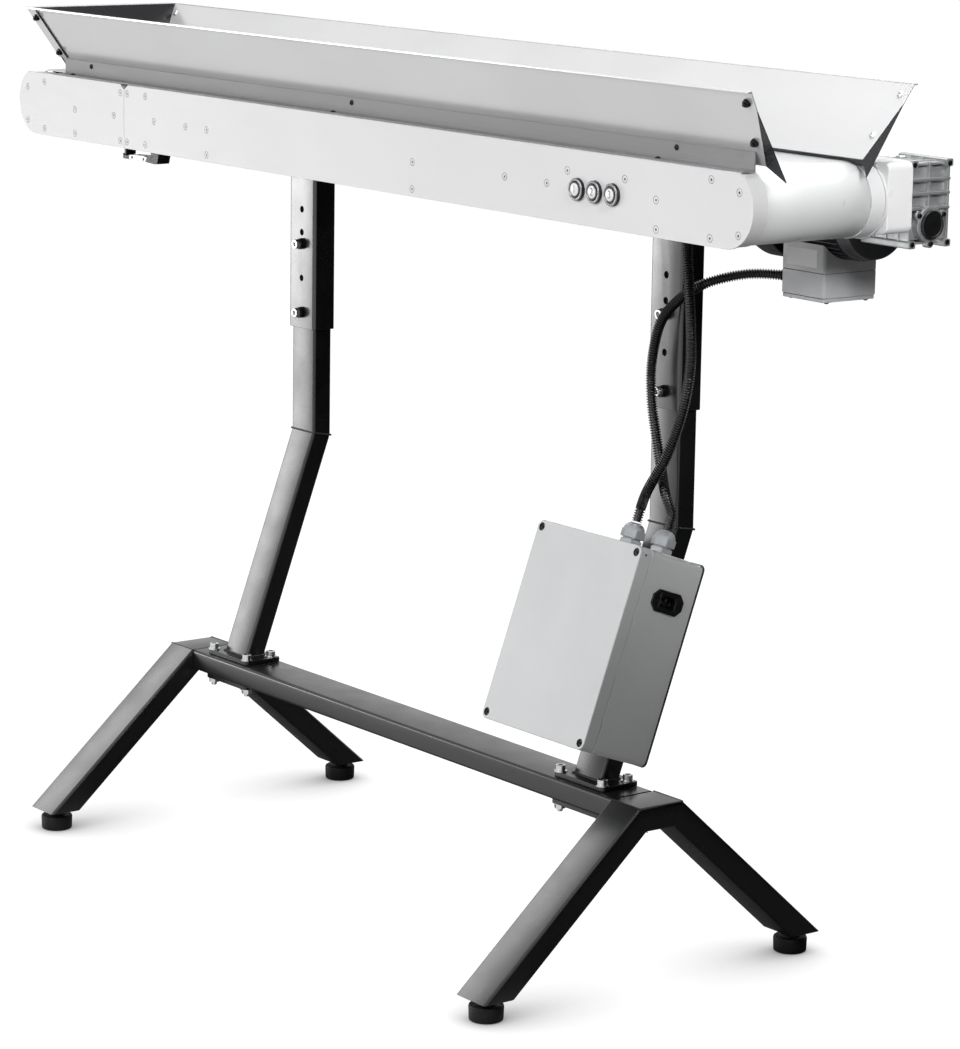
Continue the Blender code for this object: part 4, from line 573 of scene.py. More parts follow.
def bead_group():
    """Lays flattened beads along a line, like the ripples of a weld."""
    group, source, sink = new_group("Weld Bead", (
        ("Pitch", "NodeSocketFloat", 2 * MM),
        ("Radius", "NodeSocketFloat", 1.3 * MM),
        ("Finish", "NodeSocketMaterial", None),
    ))
    line = add_node(group, "GeometryNodeMeshToCurve", {"Mesh": source.outputs["Geometry"]})
    even = add_node(group, "GeometryNodeResampleCurve", {"Curve": line.outputs[0],
        "Length": source.outputs["Pitch"]}, mode="LENGTH")
    along = add_node(group, "GeometryNodeInputTangent")
    lie = add_node(group, "FunctionNodeAlignRotationToVector", {"Vector": along.outputs[0]}, axis="Z")
    bead = add_node(group, "GeometryNodeMeshUVSphere", {"Segments": 10, "Rings": 6,
        "Radius": source.outputs["Radius"]})
    placed = add_node(group, "GeometryNodeInstanceOnPoints", {"Points": even.outputs[0],
        "Instance": bead.outputs["Mesh"], "Rotation": lie.outputs[0], "Scale": (1.0, 1.0, 0.95)})
    return closing(group, source, sink, placed.outputs[0])


def conduit_group():
    """A corrugated tube round a line: its radius swells and narrows once in each pitch."""
    group, source, sink = new_group("Corrugated Conduit", (
        ("Radius", "NodeSocketFloat", 6.5 * MM),
        ("Pitch", "NodeSocketFloat", 2.7 * MM),
        ("Depth", "NodeSocketFloat", 0.2),
        ("Finish", "NodeSocketMaterial", None),
    ))
    line = add_node(group, "GeometryNodeMeshToCurve", {"Mesh": source.outputs["Geometry"]})
    step = add_node(group, "ShaderNodeMath", {0: source.outputs["Pitch"], 1: 6.0}, operation="DIVIDE")
    even = add_node(group, "GeometryNodeResampleCurve", {"Curve": line.outputs[0],
        "Length": step.outputs[0]}, mode="LENGTH")
    place = add_node(group, "GeometryNodeSplineParameter")
    turns = add_node(group, "ShaderNodeMath", {0: place.outputs["Length"], 1: source.outputs["Pitch"]},
        operation="DIVIDE")
    angle = add_node(group, "ShaderNodeMath", {0: turns.outputs[0], 1: math.tau}, operation="MULTIPLY")
    wave = add_node(group, "ShaderNodeMath", {0: angle.outputs[0]}, operation="COSINE")
    ridge = add_node(group, "ShaderNodeMapRange", {"Value": wave.outputs[0], "From Min": -0.45,
        "From Max": 0.45, "To Min": 1.0, "To Max": 0.0}, interpolation_type="SMOOTHSTEP")
    shrink = add_node(group, "ShaderNodeMath", {0: ridge.outputs[0], 1: source.outputs["Depth"]},
        operation="MULTIPLY")
    share = add_node(group, "ShaderNodeMath", {0: 1.0, 1: shrink.outputs[0]}, operation="SUBTRACT")
    radius = add_node(group, "ShaderNodeMath", {0: share.outputs[0], 1: source.outputs["Radius"]},
        operation="MULTIPLY")
    ring = add_node(group, "GeometryNodeCurvePrimitiveCircle", {"Resolution": 20, "Radius": 1.0})
    tube = add_node(group, "GeometryNodeCurveToMesh", {"Curve": even.outputs[0],
        "Profile Curve": ring.outputs["Curve"], "Scale": radius.outputs[0], "Fill Caps": True})
    return closing(group, source, sink, tube.outputs[0])


def ring_group():
    """Sets copies of a shape evenly round the X axis through the origin."""
    group, source, sink = new_group("Ring Of Parts", (
        ("Part", "NodeSocketObject", None),
        ("Count", "NodeSocketInt", 12),
        ("Finish", "NodeSocketMaterial", None),
    ))
    points = add_node(group, "GeometryNodePoints", {"Count": source.outputs["Count"]})
    index = add_node(group, "GeometryNodeInputIndex")
    share = add_node(group, "ShaderNodeMath", {0: index.outputs[0], 1: source.outputs["Count"]},
        operation="DIVIDE")
    angle = add_node(group, "ShaderNodeMath", {0: share.outputs[0], 1: math.tau}, operation="MULTIPLY")
    turn = add_node(group, "ShaderNodeCombineXYZ", {"X": angle.outputs[0]})
    shape = add_node(group, "GeometryNodeObjectInfo", {"Object": source.outputs["Part"]})
    placed = add_node(group, "GeometryNodeInstanceOnPoints", {"Points": points.outputs[0],
        "Instance": shape.outputs["Geometry"], "Rotation": turn.outputs[0]})
    return closing(group, source, sink, placed.outputs[0])


GROUP_MAKERS = {"fasteners": fastener_group, "bead": bead_group, "conduit": conduit_group,
    "ring": ring_group}
GROUPS = {}


def node_built(name, mesh, kind, finish, **inputs):
    """A plain mesh piece made by a geometry node group from a source mesh."""
    if kind not in GROUPS:
        GROUPS[kind] = GROUP_MAKERS[kind]()
    group = GROUPS[kind]
    made = bpy.data.objects.new(name, mesh)
    bpy.context.scene.collection.objects.link(made)
    modifier = made.modifiers.new(group.name, "NODES")
    modifier.node_group = group
    values = {**{key.replace("_", " ").title(): value for key, value in inputs.items()},
        "Finish": look(finish)}
    for item in group.interface.items_tree:
        if item.in_out == "INPUT" and item.name in values:
            modifier[item.identifier] = values[item.name]
    return remade(made)


def points_mesh(name, spots):
    """Loose points, each with the axis that stands on it."""
    mesh = bpy.data.meshes.new(name)
    mesh.from_pydata([spot for spot, _ in spots], [], [])
    axis = mesh.attributes.new("axis", "FLOAT_VECTOR", "POINT")
    for k, (_, along) in enumerate(spots):
        axis.data[k].vector = along
    return mesh


def line_mesh(name, points, closed=False):
    count = len(points)
    edges = [(i, i + 1) for i in range(count - 1)] + ([(count - 1, 0)] if closed else [])
    mesh = bpy.data.meshes.new(name)
    mesh.from_pydata([tuple(p) for p in points], edges, [])
    return mesh


def fastened(name, spots, template_bm, finish, body, seed=3):
    """Copies of one fastener at spots, as one piece on one body."""
    template = object_from(name + "_template", template_bm, ())
    made = node_built(name, points_mesh(name, spots), "fasteners", finish, fastener=template, size=1.0,
        seed=seed)
    bpy.data.objects.remove(template)
    return settled(made, body)


def beaded(name, loops, radius):
    """Weld beads along closed loops of points, as one piece of the stand."""
    bm = bmesh.new()
    for loop in loops:
        corners = [bm.verts.new(p) for p in loop]
        for i in range(len(corners)):
            bm.edges.new((corners[i], corners[(i + 1) % len(corners)]))
    mesh = bpy.data.meshes.new(name)
    bm.to_mesh(mesh)
    bm.free()
    pitch = bpy.context.scene.conveyor_stand.weld_pitch
    made = node_built(name, mesh, "bead", "powder", pitch=pitch, radius=radius)
    return settled(made, "stand")


# ---------------------------------------------------------------- fasteners

def socket_head(radius, height):
    """A cap screw's head, standing on its foot at the origin."""
    bm = bmesh.new()
    add_socket_screw(bm, "Z", (0, 0, 0), height, radius)
    return bm


def countersunk_head(radius):
    """A flat countersunk head whose face is at the origin, open at its socket."""
    bm = bmesh.new()
    socket = radius * 0.40
    profile = [(-0.1 * MM, radius), (-2.2 * MM, radius * 0.5), (-2.2 * MM, socket * 0.6),
        (-2.1 * MM, socket * 0.6), (-0.9 * MM, socket), (0.0, socket), (0.0, radius - 0.15 * MM)]
    add_turned(bm, profile, "Z", (0, 0, 0), 24)
    return bm


def countersunk_seat(radius):
    """A painted shadow round a countersunk head: a dark ring where the gap round the head lies in shade,
    and a dark hexagon at the foot of its socket.
    """
    bm = bmesh.new()
    ring = [(-0.10 * MM, radius + 0.06 * MM), (-0.10 * MM, radius + 0.82 * MM),
        (-0.3 * MM, radius + 0.75 * MM), (-0.3 * MM, radius + 0.06 * MM)]
    add_turned(bm, ring, "Z", (0, 0, 0), 24)
    add_prism(bm, outline_round(radius * 0.39, 6), "Z", -1.3 * MM, -0.2 * MM)
    return bm


def domed_head(radius, height):
    """A button-head bolt: a low dome with a small socket."""
    bm = bmesh.new()
    arc = [(height * math.sin(a), radius * math.cos(a)) for a in (0.0, 0.25, 0.5, 0.75, 1.0)]
    socket = radius * 0.38
    top = height * 0.94
    profile = [(0.0, 0.0), *arc, (top, socket), (top - 1.1 * MM, socket), (top - 1.1 * MM, 0.0)]
    add_turned(bm, profile, "Z", (0, 0, 0), 24)
    return bm


def cap_nut(radius, height):
    """A hexagon nut with the bolt's end through it."""
    bm = bmesh.new()
    add_rod(bm, 0.0, 0.9 * MM, radius * 1.12, "Z", (0, 0, 0), 24)
    add_prism(bm, outline_round(radius, 6), "Z", 0.7 * MM, height * 0.62)
    thread = radius * 0.52
    add_turned(bm, [(0.5 * MM, 0.0), (0.5 * MM, thread), (height - 0.5 * MM, thread),
        (height, thread - 0.5 * MM), (height, 0.0)], "Z", (0, 0, 0), 16)
    return bm


# ---------------------------------------------------------------- stand

LEG_THICKNESS = 31 * MM
CROWN_HALF = 33.5 * MM  # half of the trestle's flat top
BASE_PLATE = 6 * MM
BASE_PLATE_HALF = 28.5 * MM
POST_HALF_WIDTH, POST_HALF_DEPTH = 27.5 * MM, 14.6 * MM
POST_BEND_Z = 545.4 * MM
HOLE_TOP_Z, HOLE_PITCH, HOLE_RADIUS = 859 * MM, 32 * MM, 4.3 * MM
OPEN_HOLES = (0, 1, 3)  # the clamp screws sit half a pitch between the holes
FOOT_TOP, FOOT_NUT_TOP = 21 * MM, 27.6 * MM
BOLT_SPACING = (41.5 * MM, 20 * MM)


class CONVEYOR_OT_stand(bpy.types.Operator):
    """Build the trestles, crossbeam and feet"""

    bl_idname = "conveyor.stand"
    bl_label = "Trestles And Crossbeam"

    def execute(self, context):
        corner = context.scene.conveyor_stand.tube_corner
        for side in SIDES:
            low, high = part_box(side + "_trestle")
            x, top = (low.x + high.x) / 2, high.z
            self.trestle(side, x, (high.x - low.x) / 2, top, low.z, corner)
            for end in ("front", "rear"):
                self.foot(f"{side}_{end}_foot")
        low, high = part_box("crossbeam")
        bm = bmesh.new()
        add_prism(bm, outline_rounded(high.y, (high.z - low.z) / 2, corner, 4, (0.0, (low.z + high.z) / 2)),
            "X", low.x, high.x)
        piece("crossbeam_tube", bm, ("powder",), "stand", ["crossbeam"], ease=(0.4 * MM,))
        return {"FINISHED"}

    def trestle(self, side, x, half_width, top, end_z, corner):
        """One square tube, mitred twice into a flat-topped V."""
        half_depth = LEG_THICKNESS / 2
        turn = math.tan(LEG_SLOPE / 2)
        crown_y = CROWN_HALF - half_depth * turn
        crown_z = top - half_depth
        foot_y = crown_y + (crown_z - end_z) / math.tan(LEG_SLOPE)
        path = [(-foot_y, end_z), (-crown_y, crown_z), (crown_y, crown_z), (foot_y, end_z)]
        bm = bmesh.new()
        add_tube(bm, x, path, half_width, half_depth, corner)
        piece(side + "_trestle_tube", bm, ("powder",), "stand", [side + "_trestle"], ease=(0.5 * MM,))
        loops = []
        for way in (-1, 1):
            outer = Vector((0, way * CROWN_HALF, top))
            inner = Vector((0, way * (CROWN_HALF - LEG_THICKNESS * turn), top - LEG_THICKNESS))
            loops.append([(x + s * (half_width - 0.6 * MM), *(outer if k else inner).yz)
                for s, k in ((-1, 0), (-1, 1), (1, 1), (1, 0))])
        beaded(side + "_trestle_welds", loops, 0.7 * MM)

    def foot(self, node):
        """A turned rubber pad on a threaded stud with its lock nut."""
        low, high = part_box(node)
        centre = Vector(((low.x + high.x) / 2, (low.y + high.y) / 2, 0.0))
        radius = (high.x - low.x) / 2
        bm = bmesh.new()
        add_turned(bm, [(0.0, 0.0), (0.0, radius - 2.5 * MM), (1.2 * MM, radius - 0.8 * MM),
            (3 * MM, radius - 0.5 * MM), (17 * MM, radius), (19 * MM, radius - 0.6 * MM),
            (20 * MM, radius - 2 * MM), (20 * MM, 12 * MM), (FOOT_TOP, 11.5 * MM), (FOOT_TOP, 0.0)], "Z",
            centre, 64)
        add_prism(bm, outline_round(11.2 * MM, 6, centre.xy), "Z", FOOT_TOP, FOOT_NUT_TOP, 1)
        thread = [(FOOT_TOP, 0.0)]
        for k in range(12):
            z = FOOT_NUT_TOP + k * MM
            thread += [(z, 5.0 * MM), (z + 0.5 * MM, 4.5 * MM)]
        add_turned(bm, thread + [(thread[-1][0], 0.0)], "Z", centre, 20, 1)
        piece(node + "_pad", bm, ("rubber", "black_steel"), node, [node])


class CONVEYOR_OT_posts(bpy.types.Operator):
    """Build the bent posts, their base plates, bolts, welds, sleeves and clamp screws"""

    bl_idname = "conveyor.posts"
    bl_label = "Posts And Sleeves"

    def execute(self, context):
        corner = context.scene.conveyor_stand.tube_corner
        for side in SIDES:
            self.post(side, corner)
            self.base(side)
            self.sleeve(side, corner)
            self.clamp_screws(side)
        return {"FINISHED"}

    def post(self, side, corner):
        low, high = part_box(side + "_lower_post")
        x = (low.x + high.x) / 2
        half_width, half_depth, bend_z = POST_HALF_WIDTH, POST_HALF_DEPTH, POST_BEND_Z
        middle_y = high.y - half_depth
        foot_z = low.z + BASE_PLATE
        foot_y = middle_y - (bend_z - foot_z) * math.tan(POST_SLOPE)
        bm = bmesh.new()
        add_tube(bm, x, [(foot_y, foot_z), (middle_y, bend_z), (middle_y, high.z)], half_width, half_depth,
            corner)
        outline = outline_rounded((high.x - low.x) / 2, BASE_PLATE_HALF, 5 * MM, 5, (x, 3 * MM))
        add_prism(bm, outline, "Z", low.z, foot_z - 0.1 * MM)
        piece(side + "_post", bm, ("powder",), "stand", [side + "_lower_post"], ease=(0.6 * MM,))
        slant = half_depth / math.cos(POST_SLOPE)
        drop = half_depth * math.tan(POST_SLOPE / 2)
        seams = [
            [(x + sx * half_width, foot_y + sy * slant, foot_z + 0.4 * MM)
             for sx, sy in ((-1, -1), (1, -1), (1, 1), (-1, 1))],
            [(x + sx * (half_width - 0.3 * MM), middle_y + sy * (half_depth - 0.3 * MM), bend_z - sy * drop)
             for sx, sy in ((-1, -1), (1, -1), (1, 1), (-1, 1))],
        ]
        beaded(side + "_post_welds", seams, 1.5 * MM)

    def base(self, side):
        """The plate under the crossbeam, and the four bolts through both plates."""
        low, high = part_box(side + "_base_clamp")
        x = (low.x + high.x) / 2
        beam_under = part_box("crossbeam")[0].z
        plate_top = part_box(side + "_lower_post")[0].z + BASE_PLATE
        bm = bmesh.new()
        outline = outline_rounded((high.x - low.x) / 2, high.y, 5 * MM, 5, (x, 0.0))
        add_prism(bm, outline, "Z", beam_under - GAP - BASE_PLATE, beam_under - GAP)
        piece(side + "_clamp_plate", bm, ("powder",), "stand", [side + "_base_clamp"], ease=(0.5 * MM,))
        places = [(x + i * BOLT_SPACING[0], j * BOLT_SPACING[1]) for i in (-1, 1) for j in (-1, 1)]
        up, down = (0, 0, 1), (0, 0, -1)
        heads = [((px, py, plate_top + 0.2 * MM), up) for px, py in places]
        nuts = [((px, py, beam_under - GAP - BASE_PLATE), down) for px, py in places]
        head = socket_head(6.3 * MM, 8.4 * MM)
        add_turned(head, [(-0.2 * MM, 4 * MM), (-0.2 * MM, 8.2 * MM), (1.2 * MM, 8.2 * MM),
            (1.2 * MM, 4 * MM)], "Z", (0, 0, 0), 28)
        fastened(side + "_base_bolts", heads, head, "zinc", "stand")
        fastened(side + "_base_nuts", nuts, cap_nut(7.2 * MM, 10.4 * MM), "zinc", "stand", seed=8)

    def sleeve(self, side, corner):
        low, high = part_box(side + "_sleeve")
        centre = (low + high) / 2
        half = (high - low) / 2
        wall = 3 * MM
        bm = bmesh.new()
        add_prism(bm, outline_rounded(half.x, half.y, corner + MM, 5, centre.xy), "Z", low.z, high.z)
        sleeve = object_from(side + "_sleeve_tube", bm, ("sleeve",))
        tool = bmesh.new()
        inner = outline_rounded(half.x - wall, half.y - wall, corner - wall + 1.5 * MM, 4, centre.xy)
        add_prism(tool, inner, "Z", low.z - 0.01, high.z + 0.01)
        cut_from(sleeve, tool)
        holes = bmesh.new()
        for step in OPEN_HOLES:
            hole = outline_round(HOLE_RADIUS, 28, (centre.x, HOLE_TOP_Z - step * HOLE_PITCH))
            add_prism(holes, hole, "Y", low.y - wall, low.y + 2 * wall)
        cut_from(sleeve, holes)
        settled(eased(sleeve, 0.5 * MM), "lift", [side + "_sleeve"])

    def clamp_screws(self, side):
        """A cap screw with its lock nut standing off the sleeve."""
        for painted_shadow_glow in ("upper", "lower"):
            node = f"{side}_{painted_shadow_glow}_clamp_screw"
            low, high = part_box(node)
            x, z = (low.x + high.x) / 2, (low.z + high.z) / 2
            sleeve_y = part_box(side + "_sleeve")[0].y
            bm = bmesh.new()
            add_prism(bm, outline_round(8.3 * MM, 6, (x, z), 0.3), "Y", sleeve_y - 5.2 * MM,
                sleeve_y - 0.1 * MM, 1)
            add_rod(bm, sleeve_y - 7 * MM, high.y, 4 * MM, "Y", (x, 0, z), 20, 1)
            add_socket_screw(bm, "Y", (x, sleeve_y - 6.0 * MM, z), sleeve_y - 6.0 * MM - low.y, 6.4 * MM,
                -1)
            piece(node + "_set", bm, ("zinc", "black_steel"), "lift", [node], ease=(0.3 * MM, 1))


# ---------------------------------------------------------------- control box

BOX_HALF = (101 * MM, 128 * MM)
BOX_BACK_Y = -6 * MM
BOX_SEAM_Y = -91 * MM
BOX_FRONT_Y = -110 * MM
INLET_Y, INLET_Z = -48 * MM, 72 * MM
INLET_SPOT = (INLET_Y, INLET_Z)
GLAND_Y = -48 * MM


def to_box(made):
    """Moves a mesh made square to the control box into its tilted place."""
    made.data.transform(BOX_PLACE)
    return made


class CONVEYOR_OT_control_box(bpy.types.Operator):
    """Build the control box with its lid, screws, inlet and cable glands"""

    bl_idname = "conveyor.control_box"
    bl_label = "Control Box"

    def execute(self, context):
        self.base()
        self.lid()
        self.inlet()
        for node in ("button_gland", "motor_gland"):
            self.gland(node)
        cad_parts["control_board"].data.materials[0] = look("board")
        return {"FINISHED"}

    def base(self):
        corner, wall = 8 * MM, 3 * MM
        bm = bmesh.new()
        add_prism(bm, outline_rounded(*BOX_HALF, corner, 8), "Y", BOX_SEAM_Y, BOX_BACK_Y)
        made = object_from("control_box_shell", bm, ("abs",))
        tool = bmesh.new()
        inner = outline_rounded(BOX_HALF[0] - wall, BOX_HALF[1] - wall, corner - wall, 6)
        add_prism(tool, inner, "Y", BOX_SEAM_Y - 0.01, BOX_BACK_Y - wall)
        cut_from(made, tool)
        slot = bmesh.new()
        add_box(slot, (BOX_HALF[0] - 0.01, INLET_Y - 15 * MM, INLET_Z - 11 * MM), (BOX_HALF[0] + 0.01,
            INLET_Y + 15 * MM, INLET_Z + 11 * MM))
        cut_from(made, slot)
        settled(eased(to_box(made), 1.2 * MM, 3), "stand", ["control_box_base"])
        bm = bmesh.new()
        outline = outline_rounded(BOX_HALF[0] + 0.6 * MM, BOX_HALF[1] + 0.6 * MM, corner, 8)
        add_prism(bm, outline, "Y", BOX_BACK_Y + 0.1 * MM, BOX_BACK_Y + 2.2 * MM)
        for up in (-80 * MM, 80 * MM):
            add_prism(bm, outline_rounded(20 * MM, 15 * MM, 3 * MM, 4, (0.0, up)), "Y", BOX_BACK_Y + 2 * MM,
                -GAP)
        piece("control_box_back_plate", bm, ("powder",), "stand", ease=(0.4 * MM,), place=BOX_PLACE)

    def lid(self):
        """The lid: a shallow tray with a lip round it and a recessed screw in each corner."""
        corner = 9 * MM
        half_x, half_z = BOX_HALF
        bm = bmesh.new()
        add_steps(bm, "Y", [(outline_rounded(half_x - less, half_z - less, corner - less, 8), y)
            for less, y in ((0.9 * MM, BOX_FRONT_Y), (0.0, BOX_FRONT_Y + 0.9 * MM),
            (0.0, BOX_SEAM_Y - 1.0 * MM), (1.4 * MM, BOX_SEAM_Y - 1.0 * MM),
            (1.4 * MM, BOX_SEAM_Y - 0.1 * MM))])
        made = object_from("control_box_cover", bm, ("abs",))
        spots = [(sx * (half_x - 8.5 * MM), sz * (half_z - 8.5 * MM)) for sx in (-1, 1) for sz in (-1, 1)]
        wells = bmesh.new()
        for spot in spots:
            add_prism(wells, outline_round(5.2 * MM, 32, spot), "Y", BOX_FRONT_Y - 5 * MM,
                BOX_FRONT_Y + 7 * MM)
        cut_from(made, wells)
        settled(eased(to_box(made), 0.9 * MM, 3), "stand", ["control_box_lid"])
        bm = bmesh.new()
        face, rim, foot = BOX_FRONT_Y + 2.2 * MM, BOX_FRONT_Y + 0.15 * MM, BOX_FRONT_Y + 2.0 * MM
        for x, z in spots:
            add_turned(bm, [(face + 4 * MM, 0.0), (face + 4 * MM, 4.3 * MM), (face + 0.6 * MM, 4.3 * MM),
                (face, 3.7 * MM), (face, 2.0 * MM), (face + 2.4 * MM, 2.0 * MM), (face + 2.4 * MM, 0.0)],
                "Y", (x, 0, z), 28)
            # The black ring in each well round the head is painted shade in the gap between head and well.
            add_turned(bm, [(rim, 4.4 * MM), (rim, 5.15 * MM), (foot, 5.15 * MM), (foot, 4.4 * MM)], "Y",
                (x, 0, z), 28, 1)
        piece("control_box_lid_screws", bm, ("machine", "black"), "stand",
            place=BOX_PLACE)
        bm = bmesh.new()
        add_turned(bm, [(0.0, 0.0), (0.0, 1.4 * MM), (0.5 * MM, 1.2 * MM), (0.5 * MM, 0.0)], "X",
            (half_x - 0.1 * MM, BOX_FRONT_Y + 9 * MM, half_z - 9 * MM), 16)
        piece("control_box_vent_dot", bm, ("black",), "stand", place=BOX_PLACE)

    def inlet(self):
        """A flanged power inlet: chamfered flange, socket with three blades, two screws."""
        long, wide, chamfer, thick = 25 * MM, 13.8 * MM, 8 * MM, 2.6 * MM
        face = BOX_HALF[0] + 0.1 * MM
        points = [(-long, -wide + chamfer), (-long + chamfer, -wide), (long - chamfer, -wide),
            (long, -wide + chamfer), (long, wide - chamfer), (long - chamfer, wide),
            (-long + chamfer, wide), (-long, wide - chamfer)]
        bm = bmesh.new()
        add_prism(bm, outline_rounded(14.2 * MM, 10.4 * MM, 2 * MM, 4, INLET_SPOT), "X", face - 24 * MM,
            face + thick + 0.6 * MM)
        made = object_from("inlet_socket", bm, ("black",))
        well = bmesh.new()
        mouth = [(-12 * MM, -7.5 * MM), (12 * MM, -7.5 * MM), (12 * MM, 3.5 * MM), (8 * MM, 7.5 * MM),
            (-8 * MM, 7.5 * MM), (-12 * MM, 3.5 * MM)]
        add_prism(well, [(INLET_Y + a, INLET_Z + b) for a, b in mouth], "X", face - 16 * MM, face + 10 * MM)
        cut_from(made, well)
        settled(eased(to_box(made), 0.5 * MM, 2), "stand", ["power_inlet"])
        bm = bmesh.new()
        add_prism(bm, [(INLET_Y + a, INLET_Z + b) for a, b in points], "X", face, face + thick)
        made = object_from("inlet_flange", bm, ("black",))
        opening = bmesh.new()
        add_prism(opening, outline_rounded(14.3 * MM, 10.5 * MM, 2 * MM, 4, INLET_SPOT), "X", face - 5 * MM,
            face + 10 * MM)
        cut_from(made, opening)
        settled(eased(to_box(made), 0.5 * MM, 2), "stand")
        bm = bmesh.new()
        for a, b in ((-7 * MM, -1.5 * MM), (0.0, 2.5 * MM), (7 * MM, -1.5 * MM)):
            add_prism(bm, outline_rounded(1.0 * MM, 2.0 * MM, 0.4 * MM, 2, (INLET_Y + a, INLET_Z + b)), "X",
                face - 17 * MM, face - 2 * MM)
        piece("inlet_blades", bm, ("zinc",), "stand", place=BOX_PLACE)
        bm = bmesh.new()
        for way in (-1, 1):
            add_turned(bm, [(face + thick - MM, 0.0), (face + thick - MM, 3.1 * MM),
                (face + thick + 0.5 * MM, 2.9 * MM), (face + thick + 1.0 * MM, 1.6 * MM),
                (face + thick + 0.2 * MM, 1.2 * MM), (face + thick + 0.2 * MM, 0.0)], "X",
                (0, INLET_Y + way * 20 * MM, INLET_Z), 20)
        piece("inlet_screws", bm, ("black_steel",), "stand", place=BOX_PLACE)

    def gland(self, node):
        """A cable gland: hexagon on the wall, a thread, and a domed hexagon nut with a seal."""
        place = BOX_PLACE.inverted() @ centre_of(node)
        x, y, wall = place.x, GLAND_Y, BOX_HALF[1]
        bm = bmesh.new()
        add_prism(bm, outline_round(15.2 * MM, 6, (x, y), 0.35), "Z", wall + 0.2 * MM, wall + 6.4 * MM)
        add_rod(bm, wall, wall + 9 * MM, 11 * MM, "Z", (x, y, 0), 32)
        nut = outline_round(15.6 * MM, 6, (x, y), 0.6)
        add_prism(bm, nut, "Z", wall + 8.4 * MM, wall + 18.5 * MM)
        arc = [(wall + 17 * MM + 10.5 * MM * math.sin(a), 4.6 * MM + 9.2 * MM * math.cos(a))
            for a in (0.0, 0.3, 0.6, 0.9, 1.2, 1.45)]
        add_turned(bm, [(wall + 17 * MM, 0.0), *arc, (wall + 28.4 * MM, 7.2 * MM),
            (wall + 24 * MM, 6.9 * MM), (wall + 24 * MM, 0.0)], "Z", (x, y, 0), 40)
        piece(node + "_set", bm, ("gland",), "stand", [node], ease=(0.9 * MM, 3, 25.0), place=BOX_PLACE)


# ---------------------------------------------------------------- conduits

CONDUIT_RADIUS = 6.5 * MM
CONDUIT_GAP = 0.9 * MM
BUTTON_WAY = (
    (0.4440, 0.044, 0.604), (0.4730, 0.048, 0.649), (0.4970, 0.051, 0.7075), (0.5045, 0.055, 0.761),
    (0.4935, 0.062, 0.823), (0.4720, 0.074, 0.882),
)
MOTOR_WAY = (
    (0.4620, 0.056, 0.601), (0.4380, 0.068, 0.630), (0.4225, 0.072, 0.665), (0.4085, 0.075, 0.708),
    (0.4065, 0.076, 0.754), (0.4206, 0.077, 0.804), (0.4490, 0.084, 0.8365), (0.4803, 0.098, 0.8575),
    (0.5085, 0.136, 0.8690),
)


def smooth_route(points, spacing):
    """Even points on a smooth curve through a route, with its two ends left straight."""
    fine = []
    for a, b, c, d in zip(points, points[1:], points[2:], points[3:]):
        for k in range(24):
            t = k / 24
            fine.append(0.5 * ((2 * b) + (c - a) * t + (2 * a - 5 * b + 4 * c - d) * t * t
                               + (3 * b - a - 3 * c + d) * t ** 3))
    fine.append(points[-2])
    lengths = [0.0]
    for first, second in zip(fine, fine[1:]):
        lengths.append(lengths[-1] + (second - first).length)
    count = max(2, round(lengths[-1] / spacing))
    made = []
    at = 0
    for k in range(count + 1):
        want = lengths[-1] * k / count
        while at < len(lengths) - 2 and lengths[at + 1] < want:
            at += 1
        span = lengths[at + 1] - lengths[at]
        made.append(fine[at].lerp(fine[at + 1], (want - lengths[at]) / span if span else 0.0))
    return [points[0]] + made + [points[-1]]


class CONVEYOR_OT_conduits(bpy.types.Operator):
    """Lay the two corrugated conduits from the box to the conveyor and the motor"""

    bl_idname = "conveyor.conduits"
    bl_label = "Conduits"

    def execute(self, context):
        up = Vector((0.0, math.sin(POST_SLOPE), math.cos(POST_SLOPE)))
        start = self.mouth("button_gland")
        entry = Vector((0.4575, REAR_Y - 12 * MM, PLATE_BOTTOM + FRAME_INSET - CONDUIT_GAP))
        rise = entry - Vector((0.0, 0.0, 0.020))
        self.lay("button_conduit", [start, start + up * 0.018, *map(Vector, BUTTON_WAY), rise, entry])
        start = self.mouth("motor_gland")
        low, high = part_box("terminal_gland")
        mouth = Vector((low.x + 0.9 * MM, MOTOR_Y, (low.z + high.z) / 2))
        run_in = mouth - Vector((0.028, 0.0, 0.0))
        self.lay("motor_conduit", [start, start + up * 0.018, *map(Vector, MOTOR_WAY), run_in, mouth])
        return {"FINISHED"}

    def mouth(self, gland):
        place = BOX_PLACE.inverted() @ centre_of(gland)
        return BOX_PLACE @ Vector((place.x, GLAND_Y, BOX_HALF[1] + 29 * MM + CONDUIT_GAP))

    def lay(self, node, points):
        settings = bpy.context.scene.conveyor_conduit
        route = smooth_route(points, 4 * MM)
        made = node_built(node + "_hose", line_mesh(node, route), "conduit", "black", radius=CONDUIT_RADIUS,
            pitch=settings.pitch, depth=settings.depth)
        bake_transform(made)
        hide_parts(node)


# ---------------------------------------------------------------- conveyor sides

def side_outline(axis_x, side, inset, gap=GAP, steps=40):
    """A cheek in XZ from the fold to a round nose; side is 1 for the main part and -1 for the tail."""
    radius, top = NOSE_RADIUS - inset, PLATE_TOP - inset
    last = math.asin(min(1.0, (top - AXIS_Z) / radius))
    points = []
    for k in range(steps + 1):
        angle = -math.pi / 2 + (last + math.pi / 2) * k / steps
        points.append((axis_x + side * radius * math.cos(angle), AXIS_Z + radius * math.sin(angle)))
    start = SPLIT_X + side * gap
    notch = 10 * MM * (top - PIVOT_Z) / (PLATE_TOP - PIVOT_Z)
    return points + [(start + side * notch, top), (start, PIVOT_Z), (start, PLATE_BOTTOM + inset)]


